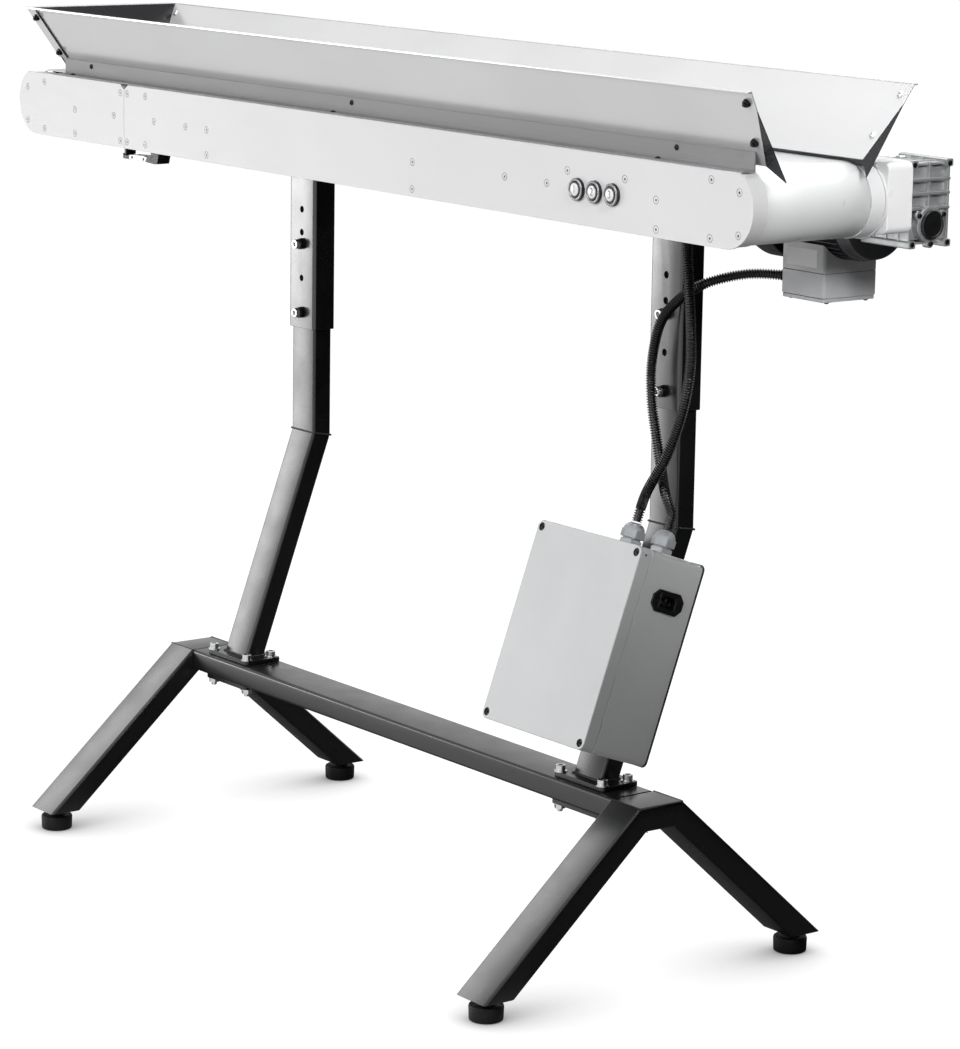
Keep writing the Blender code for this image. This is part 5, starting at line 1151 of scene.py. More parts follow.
TOP_ROW, MIDDLE_ROW, BOTTOM_ROW = 1016 * MM, 983.5 * MM, 950 * MM
TAIL_SCREWS = (
    (TOP_ROW, (-740.5, -535.5)),
    (MIDDLE_ROW, (-656.5, -552.5)),
    (BOTTOM_ROW, (-740.5, -656.5, -535.5)),
    (TOP_ROW - 10 * MM, (-787.0,)),
    (BOTTOM_ROW + 9 * MM, (-787.0,)),
)
MAIN_SCREWS = (
    (TOP_ROW, (-517.5, -470.5, 722.5)),
    (MIDDLE_ROW, (-448.5, -368.5, -316.5, 152.5, 341.5, 423.5, 626.5)),
    (BOTTOM_ROW, (-517.5, -470.5, -316.5, 152.5, 627.5, 722.5)),
    (TOP_ROW - 10 * MM, (771.0,)),
    (BOTTOM_ROW + 8 * MM, (771.0,)),
)
BUTTON_SCREWS = ((1002 * MM, (462.5, 569.5)),)


def screw_places(rows):
    return [(x * MM, z) for z, row in rows for x in row]


class CONVEYOR_OT_sides(bpy.types.Operator):
    """Build the side plates, the bright inner frames and their countersunk screws"""

    bl_idname = "conveyor.sides"
    bl_label = "Side Plates And Frames"

    def execute(self, context):
        radius = context.scene.conveyor_side.head_radius
        for name, way in (("front", -1), ("rear", 1)):
            main_rows = MAIN_SCREWS + (BUTTON_SCREWS if way < 0 else ())
            self.plate(f"{name}_side_plate", way, DRUM_X, 1, main_rows, radius, "lift",
                [f"{name}_side_plate"])
            self.plate(f"tail_{name}_plate", way, TAIL_X, -1, TAIL_SCREWS, radius, "tail",
                [f"tail_{name}_cheek"])
            self.frame_bar(f"{name}_frame_bar", way, DRUM_X, 1, "lift", [f"{name}_frame"])
            self.frame_bar(f"tail_{name}_frame_bar", way, TAIL_X, -1, "tail", [])
        return {"FINISHED"}

    def plate(self, name, way, axis_x, side, rows, radius, body, nodes):
        """A 3 mm plate with a countersink for each screw."""
        outer = CENTRE_Y + way * HALF_WIDTH
        inner = outer - way * PLATE_THICKNESS
        bm = bmesh.new()
        add_prism(bm, side_outline(axis_x, side, 0.0), "Y", outer, inner)
        made = object_from(name + "_sheet", bm, ("plate",))
        places = screw_places(rows)
        tool = bmesh.new()
        for x, z in places:
            add_turned(tool, [(way * MM, 0.0), (way * MM, radius + 0.85 * MM), (0.0, radius + 0.85 * MM),
                (-way * 2.5 * MM, radius * 0.45), (-way * 2.5 * MM, 0.0)], "Y", (x, outer, z), 24)
        if way < 0 and side > 0:
            for button in BUTTON_NAMES:
                add_prism(tool, outline_round(11.3 * MM, 36, (centre_of(button).x, BUTTON_Z)), "Y",
                    outer - MM, inner + MM)
        cut_from(made, tool)
        settled(eased(made, 0.25 * MM, 2, 50.0), body, nodes)
        spots = [((x, outer - way * 0.12 * MM, z), (0, way, 0)) for x, z in places]
        fastened(name + "_screws", spots, countersunk_head(radius), "plate", body, seed=5)
        # The black seats are painted shadow in the gap round each head and in its socket.
        fastened(name + "_screw_seats", spots, countersunk_seat(radius), "black", body, seed=5)

    def frame_bar(self, name, way, axis_x, side, body, nodes):
        """The thick aluminium bar behind a plate; its round nose shows past the belt."""
        frame_out = CENTRE_Y + way * (HALF_WIDTH - PLATE_THICKNESS - GAP)
        frame_in = frame_out - way * FRAME_WIDTH
        bm = bmesh.new()
        add_prism(bm, side_outline(axis_x, side, FRAME_INSET), "Y", frame_out, frame_in)
        if way < 0 and side > 0:
            self.latch_cheeks(bm, frame_out)
        if way < 0 and side < 0:
            low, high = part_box("latch_lever")
            add_box(bm, (-532.5 * MM, low.y, PLATE_BOTTOM - 9 * MM),
                (-528 * MM, high.y, PLATE_BOTTOM + 3 * MM), 1)
        piece(name, bm, ("plate", "black_steel"), body, nodes, ease=(0.5 * MM, 2, 45.0),
            sharp=30.0)

    def latch_cheeks(self, bm, frame_out):
        """Two small cheeks under the front frame with the latch's pin between them."""
        low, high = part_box("latch_lever")
        px, pz = LATCH_PIVOT.x, LATCH_PIVOT.z
        outline = [(px - 12 * MM, PLATE_BOTTOM + 3 * MM), (px - 6 * MM, pz - 6 * MM),
            (px + 6 * MM, pz - 6 * MM), (px + 12 * MM, PLATE_BOTTOM + 3 * MM)]
        for near, far in ((low.y - 1.3 * MM, low.y - GAP), (high.y + GAP, high.y + 2.5 * MM)):
            add_prism(bm, outline, "Y", near, far, 1)
        add_rod(bm, low.y - 0.9 * MM, high.y + 2 * MM, 2.5 * MM, "Y", (px, 0, pz), 20, 1)


# ---------------------------------------------------------------- belt and rollers

class CONVEYOR_OT_belt(bpy.types.Operator):
    """Build the belt and finish the rollers, beds and bearings inside it"""

    bl_idname = "conveyor.belt"
    bl_label = "Belt And Rollers"

    def execute(self, context):
        low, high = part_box("belt")
        outer = (high.z - low.z) / 2
        inner = outer - 2 * MM
        axis_z = (high.z + low.z) / 2
        step = 8 * MM
        runs = round((DRUM_X - TAIL_X) / step)
        arc = 40

        def loop(radius):
            points = [(TAIL_X + (DRUM_X - TAIL_X) * k / runs, axis_z + radius) for k in range(runs)]
            points += [(DRUM_X + radius * math.sin(math.pi * k / arc),
                axis_z + radius * math.cos(math.pi * k / arc)) for k in range(arc)]
            points += [(DRUM_X + (TAIL_X - DRUM_X) * k / runs, axis_z - radius) for k in range(runs)]
            points += [(TAIL_X - radius * math.sin(math.pi * k / arc),
                axis_z - radius * math.cos(math.pi * k / arc)) for k in range(arc)]
            return points

        bm = bmesh.new()
        ease = 0.5 * MM
        sections = ((outer, low.y + ease), (outer, high.y - ease), (outer - ease, high.y), (inner, high.y),
            (inner, low.y), (outer - ease, low.y))
        rings = [[bm.verts.new((x, y, z)) for x, z in loop(radius)] for radius, y in sections]
        count = len(rings[0])
        for first, second in zip(rings, rings[1:] + rings[:1]):
            for i in range(count):
                j = (i + 1) % count
                bm.faces.new((first[i], first[j], second[j], second[i]))
        made = object_from("belt_loop", bm, ("belt",), 50.0)
        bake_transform(made)
        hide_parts("belt")
        for node in ("drive_drum", "tail_roller", "tail_axle", "front_drum_bearing", "rear_drum_bearing",
                "motor_rotor", "worm"):
            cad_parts[node].data.materials[0] = look("zinc")
        for node in ("slider_bed", "tail_bed"):
            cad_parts[node].data.materials[0] = look("bright")
        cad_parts["worm_wheel"].data.materials[0] = look("bronze")
        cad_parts["cooling_fan"].data.materials[0] = look("black")
        return {"FINISHED"}


# ---------------------------------------------------------------- push buttons

class CONVEYOR_OT_buttons(bpy.types.Operator):
    """Build the three push buttons with their rings and numbers"""

    bl_idname = "conveyor.buttons"
    bl_label = "Push Buttons"

    def execute(self, context):
        for number, node in enumerate(BUTTON_NAMES, start=1):
            x = centre_of(node).x
            centre = (x, FRONT_Y, BUTTON_Z)
            bm = bmesh.new()
            # Mark 1 colours the bezel's side wall black all round: painted shade standing for the shadowed
            # side of the ring.
            add_turned(bm, [(24 * MM, 9.9 * MM), (24 * MM, 10.9 * MM), (-GAP, 10.9 * MM), (-GAP, 13.5 * MM),
                (-4.2 * MM, 13.1 * MM), (-4.2 * MM, 9.9 * MM)], "Y", centre, 64, 1)
            add_turned(bm, [(-4.24 * MM, 13.05 * MM), (-4.7 * MM, 12.6 * MM), (-4.7 * MM, 12.1 * MM),
                (-4.4 * MM, 11.9 * MM), (-4.4 * MM, 11.4 * MM), (-4.7 * MM, 11.2 * MM),
                (-4.7 * MM, 10.4 * MM), (-4.24 * MM, 9.95 * MM)], "Y", centre, 64)
            piece(f"button_{number}_ring", bm, ("bezel", "black"), "lift", [f"button_bezel_{number}"],
                sharp=50.0)
            self.cap(node, number, centre)
        return {"FINISHED"}

    def cap(self, node, number, centre):
        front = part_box(node)[0].y - FRONT_Y
        bm = bmesh.new()
        add_turned(bm, [
            (14 * MM, 0.0), (14 * MM, 9.4 * MM), (front + 0.9 * MM, 9.4 * MM), (front + 0.4 * MM, 9.0 * MM),
            (front + 0.4 * MM, 8.2 * MM), (front + 0.9 * MM, 8.0 * MM), (front + 0.9 * MM, 0.0)],
            "Y", centre, 48, 1)
        add_turned(bm, [(front + 0.86 * MM, 0.0), (front + 0.86 * MM, 7.4 * MM),
            (front + 0.2 * MM, 7.4 * MM), (front, 7.1 * MM), (front, 0.0)], "Y", centre, 48)
        text = bpy.data.curves.new("Number", "FONT")
        text.body = str(number)
        text.size = 13.0 * MM
        text.offset = -0.18 * MM
        text.extrude = 0.12 * MM
        text.align_x = "CENTER"
        text.align_y = "CENTER"
        writing = bpy.data.objects.new("Number", text)
        bpy.context.scene.collection.objects.link(writing)
        shape = evaluated_mesh(writing)
        shape.transform(Matrix.Translation((centre[0], FRONT_Y + front, BUTTON_Z))
                        @ Matrix.Rotation(math.pi / 2, 4, "X"))
        before = len(bm.faces)
        bm.from_mesh(shape)
        bm.faces.ensure_lookup_table()
        for face in bm.faces[before:]:
            face.material_index = 1
        bpy.data.objects.remove(writing)
        piece(node + "_cap", bm, ("cap", "ink"), node, [node], sharp=40.0)


# ---------------------------------------------------------------- latch

class CONVEYOR_OT_latch(bpy.types.Operator):
    """Build the toggle latch that holds the folding tail"""

    bl_idname = "conveyor.latch"
    bl_label = "Tail Latch"

    def execute(self, context):
        low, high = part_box("latch_lever")
        px, pz = LATCH_PIVOT.x, LATCH_PIVOT.z
        hook_x, arm_top = low.x, LATCH_ARM_TOP
        bm = bmesh.new()
        hook = [(hook_x, arm_top - 5 * MM), (hook_x + 17 * MM, arm_top - 5 * MM),
            (hook_x + 17 * MM, arm_top + MM), (hook_x + 11.5 * MM, arm_top), (hook_x + 3 * MM, arm_top),
            (hook_x + 3 * MM, arm_top + 2.3 * MM), (hook_x, arm_top + 2.3 * MM)]
        add_prism(bm, hook, "Y", low.y + 0.2 * MM, high.y - 0.2 * MM, 1)
        body = [(hook_x + 16 * MM, arm_top - 4.6 * MM), (px - 26 * MM, arm_top - 4.6 * MM),
            (px - 22 * MM, arm_top + 1.5 * MM), (px - 34 * MM, arm_top + 3.0 * MM),
            (hook_x + 19 * MM, arm_top + 1.6 * MM), (hook_x + 16 * MM, arm_top + 0.8 * MM)]
        for near, far in ((low.y, low.y + 2 * MM), (high.y - 2 * MM, high.y)):
            add_prism(bm, body, "Y", near, far)
        add_prism(bm, [(x, z - 1.6 * MM if z > arm_top else z + 0.4 * MM) for x, z in body], "Y",
            low.y + 1.8 * MM, high.y - 1.8 * MM)
        tip = [(px - 27 * MM, arm_top - 4.9 * MM), (px - 4 * MM, pz - 7 * MM), (px + 6 * MM, pz - 6 * MM),
            (px + 8 * MM, pz), (px + 4 * MM, pz + 6.3 * MM), (px - 6 * MM, pz + 5.8 * MM),
            (px - 23 * MM, arm_top + 3.4 * MM)]
        add_prism(bm, tip, "Y", low.y + 0.3 * MM, high.y - 0.3 * MM, 1)
        for x in (hook_x + 24 * MM, px - 31 * MM):
            add_rod(bm, low.y - 0.6 * MM, high.y + 0.1 * MM, 1.9 * MM, "Y", (x, 0, arm_top - 1.6 * MM), 16,
                1)
        piece("latch_lever_set", bm, ("cast", "black_steel"), "latch", ["latch_lever"],
            ease=(0.4 * MM, 2))
        return {"FINISHED"}


# ---------------------------------------------------------------- hopper

HOPPER_TOP_Z = 1120.5 * MM
HOPPER_BOTTOM_Z = 1035.5 * MM
HOPPER_TOP_HALF = 120.5 * MM
HOPPER_BOTTOM_HALF = 71.5 * MM
HOPPER_LEFT_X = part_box("hopper_front_wall")[0].x
HOPPER_RIGHT_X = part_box("hopper_front_wall")[1].x
END_SLOPE = 0.33
RAIL_TOP_Z = 1050.5 * MM
RAIL_LEFT_X, RAIL_RIGHT_X = -710.5 * MM, 775.5 * MM
SHEET = 1.5 * MM
LEAN = math.atan2(HOPPER_TOP_HALF - HOPPER_BOTTOM_HALF, HOPPER_TOP_Z - HOPPER_BOTTOM_Z)
LIP = (802.5 * MM, 1017.6 * MM)
FOLD_TOP = (807.0 * MM, 1099 * MM)
BOLTS_LEFT_Z = (1108 * MM, 1060 * MM)
BOLTS_RIGHT_Z = (1108 * MM, 1062 * MM)
RAIL_SCREWS_X = (-639.5, -3.5, 640.5)
FOOT_SCREWS_X = (-673.5, -30.5, 619.5)


def wall_half(z):
    share = (z - HOPPER_BOTTOM_Z) / (HOPPER_TOP_Z - HOPPER_BOTTOM_Z)
    return HOPPER_BOTTOM_HALF + share * (HOPPER_TOP_HALF - HOPPER_BOTTOM_HALF)


def left_end(z):
    return HOPPER_LEFT_X + (HOPPER_TOP_Z - z) * END_SLOPE


def right_end(z):
    return HOPPER_RIGHT_X - (HOPPER_TOP_Z - z) * END_SLOPE


class CONVEYOR_OT_hopper(bpy.types.Operator):
    """Build the hopper's walls, rails, flaps and bolts"""

    bl_idname = "conveyor.hopper"
    bl_label = "Hopper"

    def execute(self, context):
        for name, way in (("front", -1), ("rear", 1)):
            self.wall(name, way)
            self.rail(name, way)
            self.bolts(name, way)
        self.end_wall()
        return {"FINISHED"}

    def spot(self, way, x, z, out=0.0):
        return (x, CENTRE_Y + way * (wall_half(z) + out), z)

    def wall(self, name, way):
        outward = Vector((0.0, way * math.cos(LEAN), -math.sin(LEAN)))
        top, bottom = HOPPER_TOP_Z, HOPPER_BOTTOM_Z
        fold_x, fold_z = FOLD_TOP
        bm = bmesh.new()
        corners = [(left_end(top), top), (right_end(top), top), (fold_x - 0.4 * MM, fold_z),
            (right_end(bottom), bottom), (left_end(bottom), bottom)]
        add_sheet(bm, [self.spot(way, x, z) for x, z in corners], outward, SHEET)
        y0 = CENTRE_Y + way * (HOPPER_TOP_HALF - 0.2 * MM)
        hem = [(y0, top - 1.2 * MM), (y0 + way * 6 * MM, top - 1.2 * MM),
            (y0 + way * 6 * MM, top + 0.8 * MM), (y0, top + 0.8 * MM)]
        add_prism(bm, hem, "X", left_end(top), right_end(top))
        piece(f"hopper_{name}_sheet", bm, ("stainless",), "hopper", [f"hopper_{name}_wall"],
            ease=(0.35 * MM,))
        bm = bmesh.new()
        lip_x, lip_z = LIP
        inward = 2.2 * MM
        flap = [self.spot(way, fold_x - 0.4 * MM, fold_z, 0.05 * MM), self.spot(way, lip_x, lip_z, -inward),
            self.spot(way, right_end(bottom), bottom, 0.05 * MM)]
        add_sheet(bm, flap, outward, SHEET * 0.9)
        # The flaps take the painted dark stainless: their deep grey is a painted dark reflection.
        piece(f"hopper_{name}_flap", bm, ("stainless_painted_dark",), "hopper", ease=(0.2 * MM, 1))

    def rail(self, name, way):
        """The guide strip, with a folded foot, that carries a wall on the side plate."""
        inner_half = wall_half(RAIL_TOP_Z) + SHEET / math.cos(LEAN)
        inner = CENTRE_Y + way * inner_half
        outer = inner + way * 2 * MM
        edge = CENTRE_Y + way * (HALF_WIDTH - MM)
        foot = PLATE_TOP + GAP
        fold = 2.5 * MM
        arc = [(outer + way * fold * (1 - math.cos(a)), foot + 2 * MM + fold * (1 - math.sin(a)))
            for a in (0.0, 0.4, 0.8, 1.2, math.pi / 2)]
        outline = [(inner, foot), (edge, foot), (edge, foot + 2 * MM), *reversed(arc), (outer, RAIL_TOP_Z),
            (inner, RAIL_TOP_Z)]
        bm = bmesh.new()
        add_prism(bm, outline, "X", RAIL_LEFT_X, RAIL_RIGHT_X)
        # The strip's flat grey is a painted reflection of its stainless face.
        piece(f"hopper_{name}_rail", bm, ("guide",), "hopper", ease=(0.3 * MM,))

    def bolts(self, name, way):
        """Domed bolts inside the ends with nuts outside, and the screws of the rail."""
        inside = Vector((0.0, -way * math.cos(LEAN), math.sin(LEAN)))
        heads, nuts = [], []
        for z in BOLTS_LEFT_Z:
            x = left_end(z) + 9 * MM
            heads.append((self.spot(way, x, z), inside))
            nuts.append((self.spot(way, x, z, 2 * SHEET / math.cos(LEAN) + GAP), -inside))
        for z in BOLTS_RIGHT_Z:
            x = right_end(z) - 10 * MM
            heads.append((self.spot(way, x, z), inside))
            nuts.append((self.spot(way, x, z, SHEET / math.cos(LEAN)), -inside))
        fastened(f"hopper_{name}_bolt_heads", heads, domed_head(4.6 * MM, 2.6 * MM), "zinc", "hopper")
        fastened(f"hopper_{name}_bolt_nuts", nuts, cap_nut(4.6 * MM, 6.5 * MM), "black_steel", "hopper",
            seed=11)
        strip_y = CENTRE_Y + way * (wall_half(RAIL_TOP_Z) + SHEET / math.cos(LEAN) + 2 * MM)
        foot = PLATE_TOP + GAP + 2 * MM
        spots = [((x * MM, strip_y, 1044 * MM), (0, way, 0)) for x in RAIL_SCREWS_X]
        spots += [((x * MM, CENTRE_Y + way * 94 * MM, foot), (0, 0, 1)) for x in FOOT_SCREWS_X]
        fastened(f"hopper_{name}_rail_screws", spots, domed_head(3.6 * MM, 2.2 * MM), "black_steel",
            "hopper", seed=2)

    def end_wall(self):
        top, bottom = HOPPER_TOP_Z, HOPPER_BOTTOM_Z
        lean = math.atan(END_SLOPE)
        outward = (-math.cos(lean), 0.0, -math.sin(lean))
        gap = 2 * GAP
        outer_half = SHEET / math.cos(LEAN) + gap
        bm = bmesh.new()
        corners = [(left_end(z) - gap, CENTRE_Y + way * (wall_half(z) + outer_half), z)
            for z, way in ((top, -1), (top, 1), (bottom, 1), (bottom, -1))]
        add_sheet(bm, corners, outward, SHEET)
        high_x = left_end(top) - gap - 0.2 * MM
        half = HOPPER_TOP_HALF + outer_half
        add_box(bm, (high_x - 20 * MM, CENTRE_Y - half, top - 1.2 * MM),
            (high_x, CENTRE_Y + half, top + 0.8 * MM), 1)
        for way in (-1, 1):
            high, low = top - 1.5 * MM, RAIL_TOP_Z + 2 * MM
            corners = [(left_end(z) + along, CENTRE_Y + way * (wall_half(z) + outer_half), z)
                for z, along in ((high, -4 * MM), (high, 16 * MM), (low, 16 * MM), (low, -4 * MM))]
            add_sheet(bm, corners, (0.0, way * math.cos(LEAN), -math.sin(LEAN)), SHEET, 1)
        # The end wall's sheet takes the painted dark stainless, a painted dark reflection; its hem and
        # flanges stay plain stainless.
        piece("hopper_end_sheet", bm, ("stainless_painted_dark", "stainless"), "hopper", ["hopper_end_wall"],
            ease=(0.3 * MM,))
        # Thin black rubber strips along the edges of the end wall's flanges: a painted shadow line beside
        # each flange edge.
        bm = bmesh.new()
        for way in (-1, 1):
            high, low = top - 4 * MM, RAIL_TOP_Z + 2 * MM
            out = outer_half + 0.2 * MM
            corners = [(left_end(z) + along, CENTRE_Y + way * (wall_half(z) + out), z)
                for z, along in ((high, 16.3 * MM), (high, 19.2 * MM), (low, 19.2 * MM), (low, 16.3 * MM))]
            add_sheet(bm, corners, (0.0, way * math.cos(LEAN), -math.sin(LEAN)), 0.9 * MM)
        piece("hopper_seam_seals", bm, ("rubber",), "hopper")


# ---------------------------------------------------------------- drive

GEARBOX_BACK_X = 708.5 * MM
CAP_EARS = [(MOTOR_Y + 22 * MM * math.cos(angle), MOTOR_Z + 22 * MM * math.sin(angle))
    for angle in map(math.radians, (-90, 30, 150))]
FLANGE_BOLTS = [(MOTOR_Y + 44 * MM * math.cos(angle), MOTOR_Z + 44 * MM * math.sin(angle))
    for angle in map(math.radians, (45, 135, 225, 315))]


class CONVEYOR_OT_drive(bpy.types.Operator):
    """Build the drive block, worm gearbox, motor and terminal box"""

    bl_idname = "conveyor.drive"
    bl_label = "Drive"

    def execute(self, context):
        self.block()
        self.gearbox()
        self.motor(context.scene.conveyor_drive)
        self.terminal_box()
        return {"FINISHED"}

    def block(self):
        low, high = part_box("drive_block")
        centre = (low + high) / 2
        bm = bmesh.new()
        outline = outline_rounded((high.x - low.x) / 2, (high.z - low.z) / 2, 10 * MM, 8,
            (centre.x, centre.z))
        add_prism(bm, outline, "Y", low.y, high.y)
        piece("drive_block_cover", bm, ("enamel",), "lift", ["drive_block"], ease=(1.6 * MM, 4))

    def gearbox(self):
        """A ribbed casting: core, corner posts, webs, a boss with three ears, its cap and its screws."""
        low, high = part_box("gearbox_housing")
        face_x = high.x - 6 * MM
        back_x = GEARBOX_BACK_X
        x = (face_x + back_x) / 2
        inset = 9 * MM
        bm = bmesh.new()
        add_box(bm, (back_x + inset, low.y + inset / 2, low.z + inset), (face_x - inset, high.y - inset / 2,
            high.z - inset))
        wide, deep = 11 * MM, 9 * MM
        for sy in (-1, 1):
            for sz in (-1, 1):
                cy = (low.y + wide / 2) if sy < 0 else (high.y - wide / 2)
                cz = (low.z + deep / 2) if sz < 0 else (high.z - deep / 2)
                outline = outline_rounded(wide / 2, deep / 2, 2.4 * MM, 4, (cy, cz))
                add_prism(bm, outline, "X", back_x, face_x)
        rib = 3.2 * MM
        for z in (low.z + 44 * MM, low.z + 61 * MM, low.z + 77 * MM):
            add_box(bm, (back_x + 1.5 * MM, low.y + 2 * MM, z),
                (face_x - 1.5 * MM, high.y - 2 * MM, z + rib))
        for y in (low.y + 2 * MM, (low.y + high.y - rib) / 2, high.y - 2 * MM - rib):
            add_box(bm, (back_x + 2 * MM, y, low.z + 3 * MM), (face_x - 3 * MM, y + rib, high.z - 3 * MM))
        for k in (0.25, 0.5, 0.75):
            cx = back_x + (face_x - back_x) * k
            add_box(bm, (cx - rib / 2, low.y + MM, low.z + 2 * MM),
                (cx + rib / 2, high.y - MM, high.z - 2 * MM))
        for sz in (-1, 1):
            cz = low.z + 4 * MM if sz < 0 else high.z - 7 * MM
            add_box(bm, (back_x + 6 * MM, low.y + 6 * MM, cz), (face_x - 6 * MM, high.y - 6 * MM,
                cz + 3 * MM))
        boss = [(face_x - 14 * MM, 0.0), (face_x - 14 * MM, 21 * MM), (face_x + 0.5 * MM, 21 * MM),
            (face_x + 1.2 * MM, 20.3 * MM), (face_x + 1.2 * MM, 0.0)]
        add_turned(bm, boss, "X", (0, MOTOR_Y, MOTOR_Z), 56)
        for ear in CAP_EARS:
            add_prism(bm, outline_round(5.2 * MM, 28, ear), "X", face_x - 8 * MM, face_x + 1.0 * MM)
        drum_z = centre_of("drive_drum").z
        add_rod(bm, low.y + 0.1 * MM, low.y + 8 * MM, 25 * MM, "Y", (DRUM_X, 0, drum_z), 48)
        add_turned(bm, [(high.y - 8 * MM, 0.0), (high.y - 8 * MM, 25 * MM), (high.y - 0.2 * MM, 25 * MM),
            (high.y - 0.2 * MM, 15 * MM), (high.y - 4 * MM, 14.5 * MM), (high.y - 4 * MM, 0.0)], "Y",
            (DRUM_X, 0, drum_z), 48)
        neck = [(low.x, 0.0), (low.x, 27 * MM), (back_x + 6 * MM, 27 * MM), (back_x + 6 * MM, 0.0)]
        add_turned(bm, neck, "X", (0, MOTOR_Y, MOTOR_Z), 48)
        piece("gearbox_casting", bm, ("cast",), "lift", ["gearbox_housing"], ease=(0.9 * MM, 3))
        bm = bmesh.new()
        cap_x = face_x + 1.0 * MM
        add_turned(bm, [(cap_x, 0.0), (cap_x, 16.6 * MM), (cap_x + 3.4 * MM, 16.6 * MM),
            (cap_x + 4.4 * MM, 15.8 * MM), (cap_x + 4.4 * MM, 14.2 * MM), (cap_x + 3.4 * MM, 13.4 * MM),
            (cap_x + 3.4 * MM, 0.0)], "X", (0, MOTOR_Y, MOTOR_Z), 56)
        piece("gearbox_cap", bm, ("black",), "lift", sharp=50.0)
        spots = [((cap_x, *ear), (1, 0, 0)) for ear in CAP_EARS]
        fastened("gearbox_cap_screws", spots, socket_head(2.9 * MM, 2.4 * MM), "black_steel", "lift")
        spots = [((face_x, y, z), (1, 0, 0)) for y in (low.y + 5.5 * MM, high.y - 5.5 * MM)
            for z in (low.z + 5 * MM, high.z - 5 * MM)]
        fastened("gearbox_corner_screws", spots, socket_head(3.2 * MM, 1.2 * MM), "black_steel", "lift",
            seed=6)
        bm = bmesh.new()
        add_turned(bm, [(-4 * MM, 0.0), (-4 * MM, 6.5 * MM), (-0.6 * MM, 6.5 * MM), (0.0, 5.9 * MM),
            (0.0, 0.0)], "Z", (x - 12 * MM, MOTOR_Y, high.z), 6)
        piece("gearbox_breather", bm, ("zinc",), "lift")

    def motor(self, settings):
        low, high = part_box("motor_housing")
        radius = (high.z - low.z) / 2
        axis = (0, MOTOR_Y, MOTOR_Z)
        core = radius - 6.5 * MM
        bm = bmesh.new()
        add_turned(bm, [(high.x, 0.0), (high.x, 49 * MM), (high.x - 1.2 * MM, 51 * MM),
            (high.x - 9 * MM, 51 * MM), (high.x - 12 * MM, radius - 2 * MM),
            (high.x - 20 * MM, radius - MM), (high.x - 24 * MM, core), (low.x + 12 * MM, core),
            (low.x + 9 * MM, radius - 2 * MM), (low.x + 2 * MM, radius - 6 * MM), (low.x, 0.0)], "X", axis,
            72)
        piece("motor_casting", bm, ("machine",), "lift", ["motor_housing"], ease=(0.6 * MM,))
        fin = bmesh.new()
        add_box(fin, (low.x + 10 * MM, -0.9 * MM, core - 2 * MM), (high.x - 21 * MM, 0.9 * MM,
            radius - 0.3 * MM))
        template = object_from("motor_fin_template", fin, ())
        fins = node_built("motor_fins", line_mesh("motor_fins", [(0, 0, 0)]), "ring", "machine",
            part=template, count=settings.fins)
        bpy.data.objects.remove(template)
        fins.data.transform(Matrix.Translation(axis))
        settled(fins, "lift")
        self.cowl(settings)
        spots = [((high.x - 9 * MM, *spot), (-1, 0, 0)) for spot in FLANGE_BOLTS]
        fastened("motor_flange_bolts", spots, cap_nut(6.2 * MM, 9 * MM), "zinc", "lift", seed=4)

    def cowl(self, settings):
        """The fan's sheet cover with a ring of air slots in its back."""
        low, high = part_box("fan_cowl")
        radius = (high.z - low.z) / 2
        axis = (0, MOTOR_Y, MOTOR_Z)
        wall = 1.6 * MM
        bm = bmesh.new()
        add_turned(bm, [(high.x, radius - wall), (high.x, radius), (low.x + 9 * MM, radius),
            (low.x + 4 * MM, radius - 1.6 * MM), (low.x + MM, radius - 5 * MM), (low.x, radius - 10 * MM),
            (low.x, 12 * MM), (low.x + wall, 12 * MM), (low.x + wall, radius - 10 * MM),
            (low.x + 4 * MM, radius - 5 * MM), (low.x + 9 * MM, radius - wall)], "X", axis, 72)
        made = object_from("fan_cowl_cover", bm, ("machine",))
        slot = bmesh.new()
        add_prism(slot, outline_rounded(2.2 * MM, 14 * MM, 2.1 * MM, 4, (0.0, 34 * MM)), "X",
            low.x - 5 * MM, low.x + 8 * MM)
        template = object_from("cowl_slot_template", slot, ())
        ring = node_built("cowl_slots", line_mesh("cowl_slots", [(0, 0, 0)]), "ring", "machine",
            part=template, count=settings.grille_slots)
        bpy.data.objects.remove(template)
        ring.data.transform(Matrix.Translation(axis))
        tool = bmesh.new()
        tool.from_mesh(ring.data)
        bpy.data.objects.remove(ring)
        cut_from(made, tool)
        settled(eased(made, 0.3 * MM), "lift", ["fan_cowl"])

